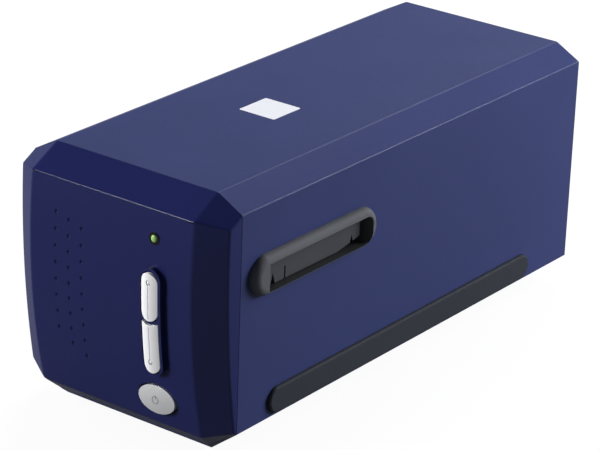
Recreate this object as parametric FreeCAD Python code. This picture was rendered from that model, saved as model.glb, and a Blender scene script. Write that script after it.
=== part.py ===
import FreeCAD, Part
import math
import os

# Film scanner for strips and slides, in millimetres.
# +X is the side where the film holder goes in, -Y is the front with the buttons, +Z is up.
# The origin is the middle of the footprint, on the surface that the feet stand on.

os.makedirs("parts", exist_ok=True)
V = FreeCAD.Vector

# Whole scanner
overall_width = 120.0
overall_depth = 272.0
overall_height = 118.5
surround_proud = 4.0
foot_height = 1.2
wall = 2.4
overrun = 6.0
tiny = 0.001
reach = 400.0
slip = 0.3
running = 0.05

# Section of the cover
top_chamfer_width = 12.8
top_chamfer_drop = 6.9
bottom_chamfer_width = 15.8
bottom_chamfer_rise = 12.4

# Faceted front cap
face_inset = 12.5
brow_depth = 15.2
brow_drop = 8.5
chin_depth = 8.4
chin_rise = 10.0
chin_setback = 3.3
face_bulge = 4.3
cheek_top_depth = 7.7
cheek_top_drop = 11.5
cheek_bottom_depth = 2.0
cheek_bottom_rise = 15.1
cheek_bulge = 2.3
seam_gap = 0.3
lip_root = 3.0
lip_reach = 4.0
lip_wall = 1.6
lip_embed = 0.4

# Buttons on the front
column_inset = 19.8
collar_proud = 2.3
collar_rim = 1.0
collar_head = 0.6
key_web = 0.9
pad_gap = 0.5
pad_half_width = 4.3
pad_top_share = 0.70549
pad_split_share = 0.52405
pad_bottom_share = 0.31899
button_proud = 3.3
key_crown = 1.1
button_back = 2.1
key_cusp = 1.15
switch_board_post = 2.2
flange_thick = 1.2
flange_margin = 1.3
plunger_half = 1.6
pad_travel = 1.2
groove_width = 0.35
groove_depth = 0.35
groove_inset = 1.2
groove_pip_inset = 6.5
power_share = 0.21266
power_half_x = 11.0
power_half_z = 7.0
power_end_radius = 5.0
power_gap = 0.3
power_recess_margin = 0.9
power_recess_depth = 1.0
power_proud = 1.8
power_round = 1.5
power_travel = 1.5
led_share = 0.82532
led_radius = 1.9
led_bevel = 0.8
led_proud = 0.9

# Dimples on the front
dimple_columns = 3
dimple_pitch_x = 7.1
dimple_first_inset = 14.1
dimple_row_share = 0.061435
dimple_top_share = 0.80253
dimple_column_drop = 2.0
dimple_counts = (8, 9, 9)
dimple_half_width = 0.75
dimple_half_height = 1.35
dimple_depth = 0.9

# Film slot on each side
slot_front_gap = 14.2
slot_length = 71.6
slot_floor_share = 0.627
slot_height = 12.7
slot_rear_round = 4.2
surround_front_gap = 5.5
surround_length = 84.5
surround_below_floor = 1.9
surround_height = 18.2
surround_round = 2.6
second_bevel_share = 0.35
sleeve_wall = 1.6
sleeve_end_inset = 6.0

# Dust flap in each slot
flap_thick = 1.4
flap_setback = 4.2
flap_floor_gap = 0.5
flap_front_gap = 0.5
flap_rear_gap = 4.2
flap_corner = 3.4
flap_heel_length = 15.6
flap_heel_rise = 2.6
knuckle_rear_gap = 3.0
hinge_drop = 1.8
knuckle_radius = 1.5
pin_radius = 0.75
notch_width = 3.0
notch_height = 5.0
slit_width = 0.9
slit_height = 5.6
front_notch_y = 7.2
slit_y = 15.3
rear_notch_y = 61.6

# Rubber parts
strip_front_gap = 20.0
strip_rear_gap = 35.0
strip_height = 12.0
strip_lift = 1.2
strip_proud = 1.8
strip_bed = 0.8
strip_round = 1.0
foot_radius = 7.0
foot_taper = 0.6
foot_inset = 27.0
foot_front_gap = 24.0
foot_rear_gap = 24.0

# Rear panel and its sockets
panel_thick = 2.4
panel_inset = 0.8
panel_gap = 0.25
vent_count = 9
vent_pitch = 6.0
vent_width = 2.2
vent_height = 16.0
vent_drop = 34.5
rim_depth = 2.0
usb_inset = 9.0
usb_width = 12.0
usb_height = 11.0
usb_depth = 16.0
usb_wall = 0.9
usb_tongue_width = 5.6
usb_tongue_height = 3.2
jack_pitch = 17.5
jack_width = 9.0
jack_height = 11.0
jack_depth = 14.0
jack_bore = 3.1
jack_pin = 1.0
socket_proud = 0.4
socket_gap = 0.3

# Inside of the cover and the tray
cover_rib = 1.8
cover_rib_inset = 36.0
cover_boss_half = 3.2
cover_boss_inset = 5.2
cover_boss_height = 16.4
tongue_front_gap = 10.0
cover_boss_rear = 14.0
tray_rib = 2.0
tray_rib_height = 6.0
tray_rib_inset = 19.0
well_half = 5.0
well_floor = 2.4

# Circuit boards
board_thick = 1.6
main_board_lift = 3.9
main_board_inset = 25.0
main_board_length = 102.0
main_post_inset = 4.0
main_post_rear_gap = 20.0
main_post_half = 2.5
switch_board_setback = 1.4
switch_board_half = 14.0
switch_board_margin = 7.0
switch_body = 6.0
switch_height = 3.0
switch_stem = 3.0
switch_stem_reach = 0.9
chip_size = 16.0
chip_height = 1.4
small_chip_size = 8.0
chip_gap = 4.0
connector_width = 22.0
connector_depth = 5.0
connector_height = 4.5
connector_inset = 3.0
capacitor_radius = 2.6
capacitor_gap = 4.0

# Steel chassis
chassis_thick = 1.6
chassis_side_gap = 6.6
chassis_lift_share = 0.10464
chassis_front_gap = 11.3
chassis_rear_gap = 30.4
plate_above_rod = 12.0
gusset = 16.0
gusset_height = 32.0
gusset_inset = 8.8
chassis_hem = 5.0
chassis_post_half = 3.4
chassis_post_side_inset = 12.0
chassis_post_inset = 16.0
rod_inset = 4.2
rod_above_floor = 8.0
rod_radius = 3.0
rod_overhang = 1.5

# Film track
track_thick = 2.5
track_rail = 2.2
track_end_gap = 0.4
track_lip_thick = 1.8
track_lip_overhang = 5.0
track_lip_inset = 8.0
leg_width = 4.2
leg_length = 10.0
gate_inset = 1.2
gate_half_y = 12.8
gate_frame_margin = 5.0
gate_frame_thick = 0.8
detent_half_x = 14.0
detent_bump = 1.0
detent_bump_half = 4.0
detent_thick = 0.4
detent_height = 4.0
detent_pocket = 1.4

# Lamp above the film
lamp_margin = 3.2
lamp_half_y = 20.0
lamp_height = 15.0
lamp_wall = 1.5
lamp_rib = 6.0
wing_thick = 2.0
diffuser_thick = 1.8
lamp_led_count = 6
lamp_led_share = 0.47
lamp_led_height = 1.0

# Scan carriage
carriage_inset = 6.0
carriage_front_gap = 7.4
carriage_length = 146.0
carriage_gap_share = 0.08692
carriage_wall = 2.0
window_inset = 8.0
window_length = 8.0
mirror_inset = 6.0
mirror_length_share = 0.857
mirror_thick = 2.0
seat_half_share = 0.2857
seat_width = 4.0
bush_radius = 4.6
bush_length = 14.0
front_bush_from_front = 16.0
rear_bush_from_front = 126.0
fork_from_front = 71.0
fork_length = 10.0
ear_wall = 1.8
bush_fit = 0.02
lens_radius_share = 0.2857
lens_bore_share = 0.6875
lens_recess = 3.0
lens_length = 30.0
lens_from_front = 84.0
bulkhead_thick = 3.0
sensor_height = 8.0
sensor_thick = 3.0

# Screw drive
screw_radius = 2.5
screw_above_chassis = 13.4
screw_below_carriage = 5.0
screw_run_in = 30.0
bearing_length = 6.0
bearing_half_x = 5.0
bearing_foot_half_x = 10.0
bearing_cap = 2.0
nut_length = 16.0
nut_half_x = 7.0
nut_from_front = 80.0
nut_drop = 11.5
nut_chamfer = 1.4
gear_module = 0.8
screw_gear_teeth = 24
pinion_teeth = 12
pressure_degrees = 20.0
addendum_share = 0.85
dedendum_share = 1.15
tooth_foot_share = 0.1
flank_steps = 2
tooth_thinning = 0.05
mesh_gap = 0.06
gear_face = 5.0
gear_gap = 1.2
pinion_overhang = 0.5
motor_radius = 12.5
motor_length = 15.5
motor_flange_thick = 1.0
motor_ear_reach = 16.0
motor_ear_degrees = 45.0
motor_ear_radius = 3.5
motor_shaft_radius = 1.0
shaft_hole_radius = 2.0
screw_journal_radius = 2.0

# Screws
screw_shank_radius = 1.2
screw_head_radius = 2.6
screw_head_height = 1.6
housing_screw_length = 12.0
recess_sides = 6
screw_recess_radius = 1.1
screw_recess_depth = 0.8

# Places worked out from the sizes above
half_width = overall_width / 2 - surround_proud
half_depth = overall_depth / 2
rear_y = half_depth
top_z = overall_height
bottom_z = foot_height
parting_z = bottom_z + bottom_chamfer_rise
face_half = half_width - face_inset


def arc_through(top_depth, top_at, bottom_depth, bottom_at, bulge):
    """Centre and radius of the side-view arc through two points, with its bulge in between."""
    rise = top_at - bottom_at
    chord = math.hypot(rise, top_depth - bottom_depth)
    radius = (chord * chord / 4 + bulge * bulge) / (2 * bulge)
    out = (radius - bulge) / chord
    centre_depth = (top_depth + bottom_depth) / 2 - out * rise
    centre_z = (top_at + bottom_at) / 2 + out * (top_depth - bottom_depth)
    return centre_depth, centre_z, radius


face_arc = arc_through(brow_depth, top_z - brow_drop, chin_depth, bottom_z + chin_rise, face_bulge)
cheek_arc = arc_through(cheek_top_depth, top_z - cheek_top_drop,
                        cheek_bottom_depth, bottom_z + cheek_bottom_rise, cheek_bulge)
face_reach = face_arc[0] + face_arc[2]
seam_y = -half_depth + face_reach + button_proud
slot_front_y = seam_y + slot_front_gap
slot_rear_y = slot_front_y + slot_length
slot_mid_y = (slot_front_y + slot_rear_y) / 2
slot_floor_z = overall_height * slot_floor_share
slot_top_z = slot_floor_z + slot_height
surround_front_y = seam_y + surround_front_gap
surround_rear_y = surround_front_y + surround_length
surround_bottom_z = slot_floor_z - surround_below_floor
flap_outer_x = half_width + surround_proud - flap_setback
hinge_x = flap_outer_x - flap_thick / 2
hinge_z = slot_top_z - hinge_drop
sleeve_end_x = half_width - sleeve_end_inset
column_x = face_half - column_inset
keys_apart = key_web + 2 * pad_gap
pad_top_z = overall_height * pad_top_share
pad_split_z = overall_height * pad_split_share
pad_bottom_z = overall_height * pad_bottom_share
power_z = overall_height * power_share
led_z = overall_height * led_share
dimple_first_x = dimple_first_inset - face_half
dimple_first_z = overall_height * dimple_top_share
dimple_pitch_z = overall_height * dimple_row_share
foot_x = half_width - foot_inset
cover_rib_x = half_width - cover_rib_inset
tray_rib_half = half_width - tray_rib_inset
vent_z = top_z - vent_drop
panel_room = panel_inset + panel_thick + panel_gap
chassis_half_width = half_width - wall - chassis_side_gap
chassis_floor_z = bottom_z + wall + overall_height * chassis_lift_share
gusset_x = chassis_half_width - gusset_inset
chassis_post_x = chassis_half_width - chassis_post_side_inset
rod_place_x = gusset_x - rod_inset
chassis_top = chassis_floor_z + chassis_thick
chassis_front_y = seam_y + chassis_front_gap
chassis_rear_y = rear_y - chassis_rear_gap
plate_front_y = chassis_rear_y - chassis_thick
screw_z = chassis_top + screw_above_chassis
carriage_floor_z = screw_z + screw_below_carriage
carriage_top_z = slot_floor_z - overall_height * carriage_gap_share
carriage_height = carriage_top_z - carriage_floor_z
rod_z_place = carriage_floor_z + rod_above_floor
carriage_half_x = rod_place_x - carriage_inset
window_half_x = carriage_half_x - window_inset
mirror_half_x = carriage_half_x - mirror_inset
gate_half_x = window_half_x - gate_inset
lamp_half_x = gate_half_x + lamp_margin
lens_radius = carriage_height * lens_radius_share
lens_bore = lens_radius * lens_bore_share
seat_half = carriage_height * seat_half_share
carriage_front_y = chassis_front_y + chassis_thick + carriage_front_gap
carriage_rear_y = carriage_front_y + carriage_length
lens_y = carriage_front_y + lens_from_front
lens_z = (carriage_floor_z + carriage_top_z) / 2
window_y = slot_mid_y - gate_half_y
nut_y = carriage_front_y + nut_from_front
screw_front_y = nut_y - screw_run_in
gear_y = plate_front_y - gear_gap - gear_face
pinion_radius = gear_module * pinion_teeth / 2
gear_radius = gear_module * screw_gear_teeth / 2
motor_x = pinion_radius + gear_radius + mesh_gap
main_board_half = half_width - main_board_inset
usb_x = usb_inset - main_board_half
jack_x = usb_x + jack_pitch
main_board_z = bottom_z + wall + main_board_lift
main_board_top = main_board_z + board_thick
main_board_rear_y = rear_y - panel_room - socket_gap
main_board_front_y = main_board_rear_y - main_board_length
switch_board_y = seam_y - switch_board_setback + board_thick
switch_top_y = switch_board_y - board_thick - switch_height
stem_y = switch_top_y - switch_stem_reach
rail_top_z = slot_top_z + track_lip_thick
track_front_y = slot_front_y - track_rail
track_rear_y = slot_rear_y + track_rail
track_half_x = sleeve_end_x - track_end_gap
track_lip_half_x = sleeve_end_x - track_lip_inset
lamp_top = rail_top_z + lamp_height
cover_boss_top = parting_z + cover_boss_height
screw_hole_radius = screw_shank_radius + running / 2
screw_clearance_radius = screw_shank_radius + slip


def box(x0, x1, y0, y1, z0, z1):
    return Part.makeBox(x1 - x0, y1 - y0, z1 - z0, V(x0, y0, z0))


def rod_y(x, z, radius, y0, y1):
    return Part.makeCylinder(radius, y1 - y0, V(x, y0, z), V(0, 1, 0))


def rod_z(x, y, radius, z0, z1):
    return Part.makeCylinder(radius, z1 - z0, V(x, y, z0), V(0, 0, 1))


def prism(points, direction):
    """Straight-sided solid on an outline of points."""
    corners = [V(*point) for point in points]
    corners.append(corners[0])
    return Part.Face(Part.makePolygon(corners)).extrude(direction)


def half_space(point, normal):
    """Everything beyond a plane, as a block to cut with."""
    block = box(-reach, reach, -reach, reach, 0, reach)
    block.Placement = FreeCAD.Placement(point, FreeCAD.Rotation(V(0, 0, 1), normal))
    return block


def at_front(u, v, w):
    return V(u, w, v)


def at_side(u, v, w):
    return V(w, u, v)


def pill(u0, u1, v0, v1, w0, w1, place):
    """Bar with half-round ends along its longer way, drawn in one plane and extruded."""
    radius = min(u1 - u0, v1 - v0) / 2
    if u1 - u0 > v1 - v0:
        a, b = (u0 + radius, v1), (u1 - radius, v1)
        c, d = (u1 - radius, v0), (u0 + radius, v0)
        right, left = (u1, v0 + radius), (u0, v0 + radius)
    else:
        a, b = (u0, v0 + radius), (u0, v1 - radius)
        c, d = (u1, v1 - radius), (u1, v0 + radius)
        right, left = (u0 + radius, v1), (u0 + radius, v0)
    on = [place(*point, w0) for point in (a, b, right, c, d, left)]
    wire = Part.Wire([Part.LineSegment(on[0], on[1]).toShape(),
                      Part.Arc(on[1], on[2], on[3]).toShape(),
                      Part.LineSegment(on[3], on[4]).toShape(),
                      Part.Arc(on[4], on[5], on[0]).toShape()])
    return Part.Face(wire).extrude(place(0, 0, w1) - place(0, 0, w0))


def oval(x, z, grow, y0, y1):
    """Bar along Y with the power button's outline: two small end arcs and two wide arcs."""
    half_x = power_half_x + grow
    half_z = power_half_z + grow
    end = power_end_radius + grow
    centre_x = half_x - end
    wide = (half_z * half_z + centre_x * centre_x - end * end) / (2 * (half_z - end))
    turn = math.atan2(wide - half_z, centre_x)
    join_x = centre_x + end * math.cos(turn)
    join_z = end * math.sin(turn)
    right_top = V(x + join_x, y0, z + join_z)
    right_low = V(x + join_x, y0, z - join_z)
    left_top = V(x - join_x, y0, z + join_z)
    left_low = V(x - join_x, y0, z - join_z)
    wire = Part.Wire([Part.Arc(left_top, V(x, y0, z + half_z), right_top).toShape(),
                      Part.Arc(right_top, V(x + half_x, y0, z), right_low).toShape(),
                      Part.Arc(right_low, V(x, y0, z - half_z), left_low).toShape(),
                      Part.Arc(left_low, V(x - half_x, y0, z), left_top).toShape()])
    return Part.Face(wire).extrude(V(0, y1 - y0, 0))


def edges_near(shape, axis, value, margin):
    """Edges that lie wholly near one coordinate."""
    found = []
    for edge in shape.Edges:
        limits = edge.BoundBox
        low = (limits.XMin, limits.YMin, limits.ZMin)[axis]
        high = (limits.XMax, limits.YMax, limits.ZMax)[axis]
        if abs(low - value) < margin and abs(high - value) < margin:
            found.append(edge)
    return found


def softened(shape, axis, value, size):
    """Shape with the edges of one end plane bevelled in three steps, close to a round."""
    shape = shape.makeChamfer(size, edges_near(shape, axis, value, tiny))
    return shape.makeChamfer(size * second_bevel_share, edges_near(shape, axis, value, tiny))


def mirrored(shape):
    return shape.mirror(V(0, 0, 0), V(1, 0, 0))


def save(shape, name):
    shape.exportStep("parts/" + name + ".step")


# Outer form: an eight-sided sleeve whose front end is cut to facets

def section(inset):
    """Corners of the eight-sided section, moved inwards by the inset."""
    right = half_width - inset
    top = top_z - inset
    low = bottom_z + inset
    top_slope = math.atan2(top_chamfer_drop, top_chamfer_width)
    low_slope = math.atan2(bottom_chamfer_rise, bottom_chamfer_width)
    top_x = half_width - top_chamfer_width - inset * math.tan(top_slope / 2)
    low_x = half_width - bottom_chamfer_width - inset * math.tan(low_slope / 2)
    side_top = top_z - top_chamfer_drop - inset * math.tan((math.pi / 2 - top_slope) / 2)
    side_low = parting_z + inset * math.tan((math.pi / 2 - low_slope) / 2)
    half = [(low_x, low), (right, side_low), (right, side_top), (top_x, top)]
    return half + [(-x, z) for x, z in reversed(half)]


def sleeve(inset, y0, y1):
    return prism([(x, y0, z) for x, z in section(inset)], V(0, y1 - y0, 0))


def depth_on(arc, z):
    centre_depth, centre_z, radius = arc
    return centre_depth + math.sqrt(radius * radius - (z - centre_z) ** 2)


def side_outline(x, arc, setback, rear):
    """Side view outline whose front edge is one arc."""
    low = bottom_z - overrun
    high = top_z + overrun
    middle = (low + high) / 2
    front = [V(x, seam_y - depth_on(arc, z) + setback, z) for z in (high, middle, low)]
    back_high = V(x, rear, high)
    back_low = V(x, rear, low)
    return Part.Wire([Part.LineSegment(back_high, front[0]).toShape(),
                      Part.Arc(front[0], front[1], front[2]).toShape(),
                      Part.LineSegment(front[2], back_low).toShape(),
                      Part.LineSegment(back_low, back_high).toShape()])


def bowed_block(inset, rear):
    """Block with the bowed face and its ruled cheeks, without the facets."""
    turn = math.atan2(brow_depth - cheek_top_depth, half_width - face_half)
    cheek_setback = inset * (1 - math.sin(turn)) / math.cos(turn)
    face_x = face_half - inset * math.tan(turn / 2)
    side_x = half_width - inset
    wires = [side_outline(-side_x, cheek_arc, cheek_setback, rear),
             side_outline(-face_x, face_arc, inset, rear),
             side_outline(face_x, face_arc, inset, rear),
             side_outline(side_x, cheek_arc, cheek_setback, rear)]
    return Part.makeLoft(wires, True, True)


def facet_planes(inset):
    """Point and outward normal of each plane that facets the front."""
    brow = V(0, -brow_drop, brow_depth).normalize()
    chin = V(0, -chin_rise, -(chin_depth + chin_setback)).normalize()
    seam_top = V(half_width - top_chamfer_width, seam_y, top_z)
    seam_side = V(half_width, seam_y, top_z - top_chamfer_drop)
    face_top = V(face_half, seam_y - brow_depth, top_z - brow_drop)
    upper = (seam_side - seam_top).cross(face_top - seam_top).normalize() * -1
    seam_low = V(half_width, seam_y, parting_z)
    face_low = V(face_half, seam_y - chin_depth, bottom_z + chin_rise)
    heel = V(half_width - bottom_chamfer_width, seam_y + chin_setback, bottom_z)
    lower = (face_low - seam_low).cross(heel - seam_low).normalize()
    planes = [(seam_top, brow), (face_low, chin)]
    for point, normal in ((seam_top, upper), (seam_low, lower)):
        planes.append((point, normal))
        planes.append((V(-point.x, point.y, point.z), V(-normal.x, normal.y, normal.z)))
    return [(point - normal * inset, normal) for point, normal in planes]


def body_form(inset, rear):
    form = sleeve(inset, -reach, rear).common(bowed_block(inset, rear))
    for point, normal in facet_planes(inset):
        form = form.cut(half_space(point, normal))
    return form


outer_form = body_form(0, rear_y)
inner_form = body_form(wall, rear_y + overrun)
shell_form = outer_form.cut(inner_form)


def front_part(shape):
    return shape.common(box(-reach, reach, -reach, seam_y - seam_gap, -reach, reach))


def pad_outline(grow, low, high, y0, y1):
    half = pad_half_width + grow
    return pill(column_x - half, column_x + half, low - grow, high + grow, y0, y1, at_front)


def key_openings():
    """The collar's two openings: a whole pill, and one whose top follows the web round the first."""
    upper = pad_outline(pad_gap, pad_split_z, pad_top_z, -reach, seam_y)
    lower = pad_outline(pad_gap, pad_bottom_z, pad_top_z, -reach, seam_y)
    lower = lower.cut(pad_outline(pad_gap + key_web, pad_split_z, pad_top_z + overrun, -reach, seam_y))
    return upper, lower.common(box(-reach, reach, -reach, reach, 0, pad_split_z - key_cusp + pad_gap))


def front_bezel():
    """Moulded cap with the button collar, power button recess, dimples and a lip into the cover."""
    cap = front_part(shell_form)
    root = sleeve(wall - lip_embed, seam_y - lip_root, seam_y - seam_gap)
    tongue = sleeve(wall + slip, seam_y - lip_root, seam_y + lip_reach)
    core = sleeve(wall + slip + lip_wall, seam_y - lip_root - overrun, seam_y + lip_reach + overrun)
    lip = root.fuse(tongue).cut(core).common(body_form(wall - lip_embed, rear_y))
    lip = lip.common(box(-reach, reach, -reach, reach, parting_z + lip_wall, reach))
    cap = cap.fuse(lip)
    collar = pad_outline(collar_rim + pad_gap, pad_bottom_z, pad_top_z + collar_head, -reach, seam_y)
    collar = collar.common(bowed_block(-collar_proud, rear_y)).cut(bowed_block(wall, rear_y))
    cap = cap.fuse(collar)
    for opening in key_openings():
        cap = cap.cut(opening)
    recess = oval(column_x, power_z, power_recess_margin, -reach, seam_y)
    cap = cap.cut(recess.cut(bowed_block(power_recess_depth, rear_y)))
    cap = cap.cut(oval(column_x, power_z, power_gap, -reach, seam_y))
    cap = cap.cut(rod_y(column_x, led_z, led_radius + running, -reach, seam_y))
    for place in dimple_places():
        cap = cap.cut(dimple(*place))
    half = switch_board_post / 2
    for x, z in switch_board_posts():
        post = box(x - half, x + half, -reach, switch_board_y - board_thick, z - half, z + half)
        cap = cap.fuse(post.cut(half_space_before_wall()))
    return cap.removeSplitter()


def half_space_before_wall():
    """Everything in front of the middle of the bezel's wall."""
    return box(-half_width, half_width, -reach, rear_y, 0, top_z).cut(bowed_block(wall / 2, rear_y))


def dimple_places():
    places = []
    for column in range(dimple_columns):
        x = dimple_first_x + column * dimple_pitch_x
        top = dimple_first_z - column * dimple_column_drop
        places += [(x, top - row * dimple_pitch_z) for row in range(dimple_counts[column])]
    return places


def dimple(x, z):
    """Diamond-shaped pit with four sloping sides, square to the front."""
    face_y = seam_y - depth_on(face_arc, z)
    grow = (overrun + dimple_depth) / dimple_depth
    tip = V(x, face_y + dimple_depth, z)
    across = V(dimple_half_width * grow, 0, 0)
    up = V(0, 0, dimple_half_height * grow)
    middle = V(x, face_y - overrun, z)
    rim = [middle - across, middle + up, middle + across, middle - up, middle - across]
    sides = [Part.Face(Part.makePolygon([rim[index], rim[index + 1], tip, rim[index]])) for index in range(4)]
    sides.append(Part.Face(Part.makePolygon(rim)))
    return Part.Solid(Part.Shell(sides))


# Buttons, switch board and indicator behind the bezel

switch_places = ((column_x, (pad_top_z + pad_split_z) / 2), (column_x, (pad_split_z + pad_bottom_z) / 2),
                 (column_x, power_z))


def switch_board_posts():
    half = switch_board_half - switch_board_margin / 2
    low = pad_bottom_z + flange_margin
    high = led_z + switch_board_margin / 2
    return [(column_x + side * half, z) for side in (-1, 1) for z in (low, high)]


def behind_wall(outline, gap, thick):
    """Slice of an outline just behind the bezel's inner face."""
    return outline.common(bowed_block(wall + gap, rear_y)).cut(bowed_block(wall + gap + thick, rear_y))


def crown_ring():
    """Ring whose outer skin follows the bow of the face and is crowned across the keys."""
    radius = (pad_half_width ** 2 + key_crown ** 2) / (2 * key_crown)
    centre_depth, centre_z, bow = face_arc
    centre = V(column_x, seam_y - centre_depth, centre_z)
    return Part.makeTorus(bow + button_proud - radius, radius, centre, V(1, 0, 0))


def key_bar(low_z, high_z):
    """Bowed silver bar that stands out of the collar, crowned across."""
    bar = pad_outline(0, low_z, high_z, -reach, seam_y)
    return bar.common(crown_ring()).cut(bowed_block(button_back, rear_y))


def key_back(low, high, switch_z):
    """Neck, flange and plunger behind a key."""
    neck = pad_half_width - running
    flange = pad_half_width + flange_margin
    back = box(column_x - flange, column_x + flange, -reach, seam_y, low, high)
    back = behind_wall(back, slip, flange_thick)
    stalk = box(column_x - neck, column_x + neck, -reach, seam_y, low, high)
    stalk = stalk.common(bowed_block(button_back / 2, rear_y))
    stalk = stalk.cut(bowed_block(wall + slip + flange_thick / 2, rear_y))
    plunger_y = seam_y - depth_on(face_arc, switch_z) + wall
    plunger = box(column_x - plunger_half, column_x + plunger_half, plunger_y, stem_y - pad_travel - slip,
                  switch_z - plunger_half, switch_z + plunger_half)
    return back.fuse(stalk).fuse(plunger)


def key_groove(low, high):
    """Fine groove along a key."""
    half = groove_width / 2
    groove = box(column_x - half, column_x + half, -reach, seam_y, low, high)
    return groove.cut(bowed_block(-button_proud + groove_depth, rear_y))


def upper_scan_button():
    low = pad_split_z + pad_half_width + slip
    key = key_bar(pad_split_z, pad_top_z).fuse(key_back(low, pad_top_z - pad_half_width, switch_places[0][1]))
    return key.cut(key_groove(pad_split_z + groove_inset, pad_top_z - groove_pip_inset))


def lower_scan_button():
    """The lower key's top is hollowed to follow the web under the upper key."""
    hollow = pad_outline(keys_apart, pad_split_z, pad_top_z + overrun, -reach, seam_y)
    below = box(-reach, reach, -reach, reach, 0, pad_split_z - key_cusp)
    key = key_bar(pad_bottom_z, pad_top_z).cut(hollow).common(below)
    high = pad_split_z - keys_apart - slip
    key = key.fuse(key_back(pad_bottom_z + pad_half_width, high, switch_places[1][1]))
    return key.cut(key_groove(pad_bottom_z + groove_pip_inset, pad_split_z - keys_apart - groove_inset))


def power_button():
    """Oval push button with a bevelled rim and a flange behind the bezel."""
    face_y = seam_y - depth_on(face_arc, power_z)
    key = oval(column_x, power_z, 0, face_y - power_proud, face_y + wall + slip)
    key = key.makeChamfer(power_round, edges_near(key, 1, face_y - power_proud, tiny))
    half_x = power_half_x + flange_margin
    half_z = power_half_z + flange_margin
    flange = box(column_x - half_x, column_x + half_x, -reach, seam_y, power_z - half_z, power_z + half_z)
    key = key.fuse(behind_wall(flange, slip, flange_thick))
    plunger = box(column_x - plunger_half, column_x + plunger_half, face_y + wall,
                  stem_y - power_travel - slip, power_z - plunger_half, power_z + plunger_half)
    return key.fuse(plunger)


def switch_board():
    """Upright board behind the bezel that carries the switches and the lamp of the indicator."""
    return box(column_x - switch_board_half, column_x + switch_board_half, switch_board_y - board_thick,
               switch_board_y, power_z - switch_board_margin, led_z + switch_board_margin)


def tact_switches():
    """Three push switches, each a square body with its square stem."""
    half = switch_body / 2
    stem = switch_stem / 2
    base = switch_board_y - board_thick
    solids = []
    for x, z in switch_places:
        body = box(x - half, x + half, switch_top_y, base, z - half, z + half)
        solids.append(body.fuse(box(x - stem, x + stem, stem_y, switch_top_y, z - stem, z + stem)))
    return Part.makeCompound(solids)


def indicator_lens():
    """Clear light pipe from the board to a low dome on the front."""
    face_y = seam_y - depth_on(face_arc, led_z)
    back = switch_board_y - board_thick - slip
    pipe = rod_y(column_x, led_z, led_radius, face_y - led_proud, back)
    return pipe.makeChamfer(led_bevel, edges_near(pipe, 1, face_y - led_proud, tiny))


# Cover, base tray and rear panel

def behind_seam(shape, low, high):
    return shape.common(box(-reach, reach, seam_y, reach, low, high))


def sleeve_opening(grow, x0, x1):
    """The film slot: square at its front end, rounded at its rear end."""
    front = slot_front_y - grow
    rear = slot_rear_y + grow
    low = slot_floor_z - grow
    high = slot_top_z + grow
    block = box(x0, x1, front, rear, low, high)
    turned = max(slot_rear_round, grow)
    return block.makeFillet(turned, [edge for edge in block.Edges
                                     if edge.BoundBox.YMin > rear - tiny and edge.BoundBox.XLength > tiny])


def strip_outline(grow, x0, x1):
    front = seam_y + strip_front_gap - grow
    rear = rear_y - strip_rear_gap + grow
    low = parting_z + strip_lift - grow
    return pill(front, rear, low, low + strip_height + 2 * grow, x0, x1, at_side)


def sleeve_shell():
    """Walls behind the seam, straight inside."""
    return outer_form.cut(sleeve(wall, -reach, reach))


def top_cover():
    """Three-sided moulded cover with a window and a bed for the rubber bar on each side."""
    cover = behind_seam(sleeve_shell(), parting_z, reach)
    inner = half_width - wall
    cover = cover.cut(box(-inner, inner, -reach, reach, parting_z - overrun, parting_z + tray_rib + slip))
    for side in (-1, 1):
        window = sleeve_opening(sleeve_wall + slip, half_width - wall - overrun, half_width + overrun)
        bed = strip_outline(slip / 2, half_width - strip_bed, half_width + overrun)
        if side < 0:
            window = mirrored(window)
            bed = mirrored(bed)
        cover = cover.cut(window).cut(bed)
    for side in (-1, 1):
        rib = box(cover_rib_x - cover_rib, cover_rib_x, seam_y + lip_reach + slip,
                  rear_y - panel_room - rim_depth - slip,
                  top_z - wall - cover_rib, top_z - wall + tiny)
        cover = cover.fuse(rib if side > 0 else mirrored(rib))
    for x, y in cover_boss_places():
        near, far = sorted((x - math.copysign(cover_boss_half, x), math.copysign(inner + tiny, x)))
        cover = cover.fuse(box(near, far, y - cover_boss_half, y + cover_boss_half, parting_z + slip,
                               cover_boss_top))
    for x, y in cover_boss_places():
        cover = cover.cut(rod_z(x, y, screw_hole_radius, parting_z - overrun, cover_boss_top - cover_rib))
    return cover.removeSplitter()


def cover_boss_places():
    x = half_width - wall - cover_boss_inset
    y = rear_y - panel_room - cover_boss_rear
    return ((x, y), (-x, y))


def foot_places():
    front = seam_y + foot_front_gap
    rear = rear_y - foot_rear_gap
    return ((foot_x, front), (-foot_x, front), (foot_x, rear), (-foot_x, rear))


def main_board_posts():
    half = main_board_half - main_post_inset
    front = main_board_front_y + main_post_inset
    rear = main_board_rear_y - main_post_rear_gap
    return ((half, front), (-half, front), (half, rear), (-half, rear))


def chassis_posts():
    front = chassis_front_y + chassis_post_inset
    rear = chassis_rear_y - chassis_post_inset
    return [(side * chassis_post_x, y) for side in (-1, 1) for y in (front, rear)]


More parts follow.
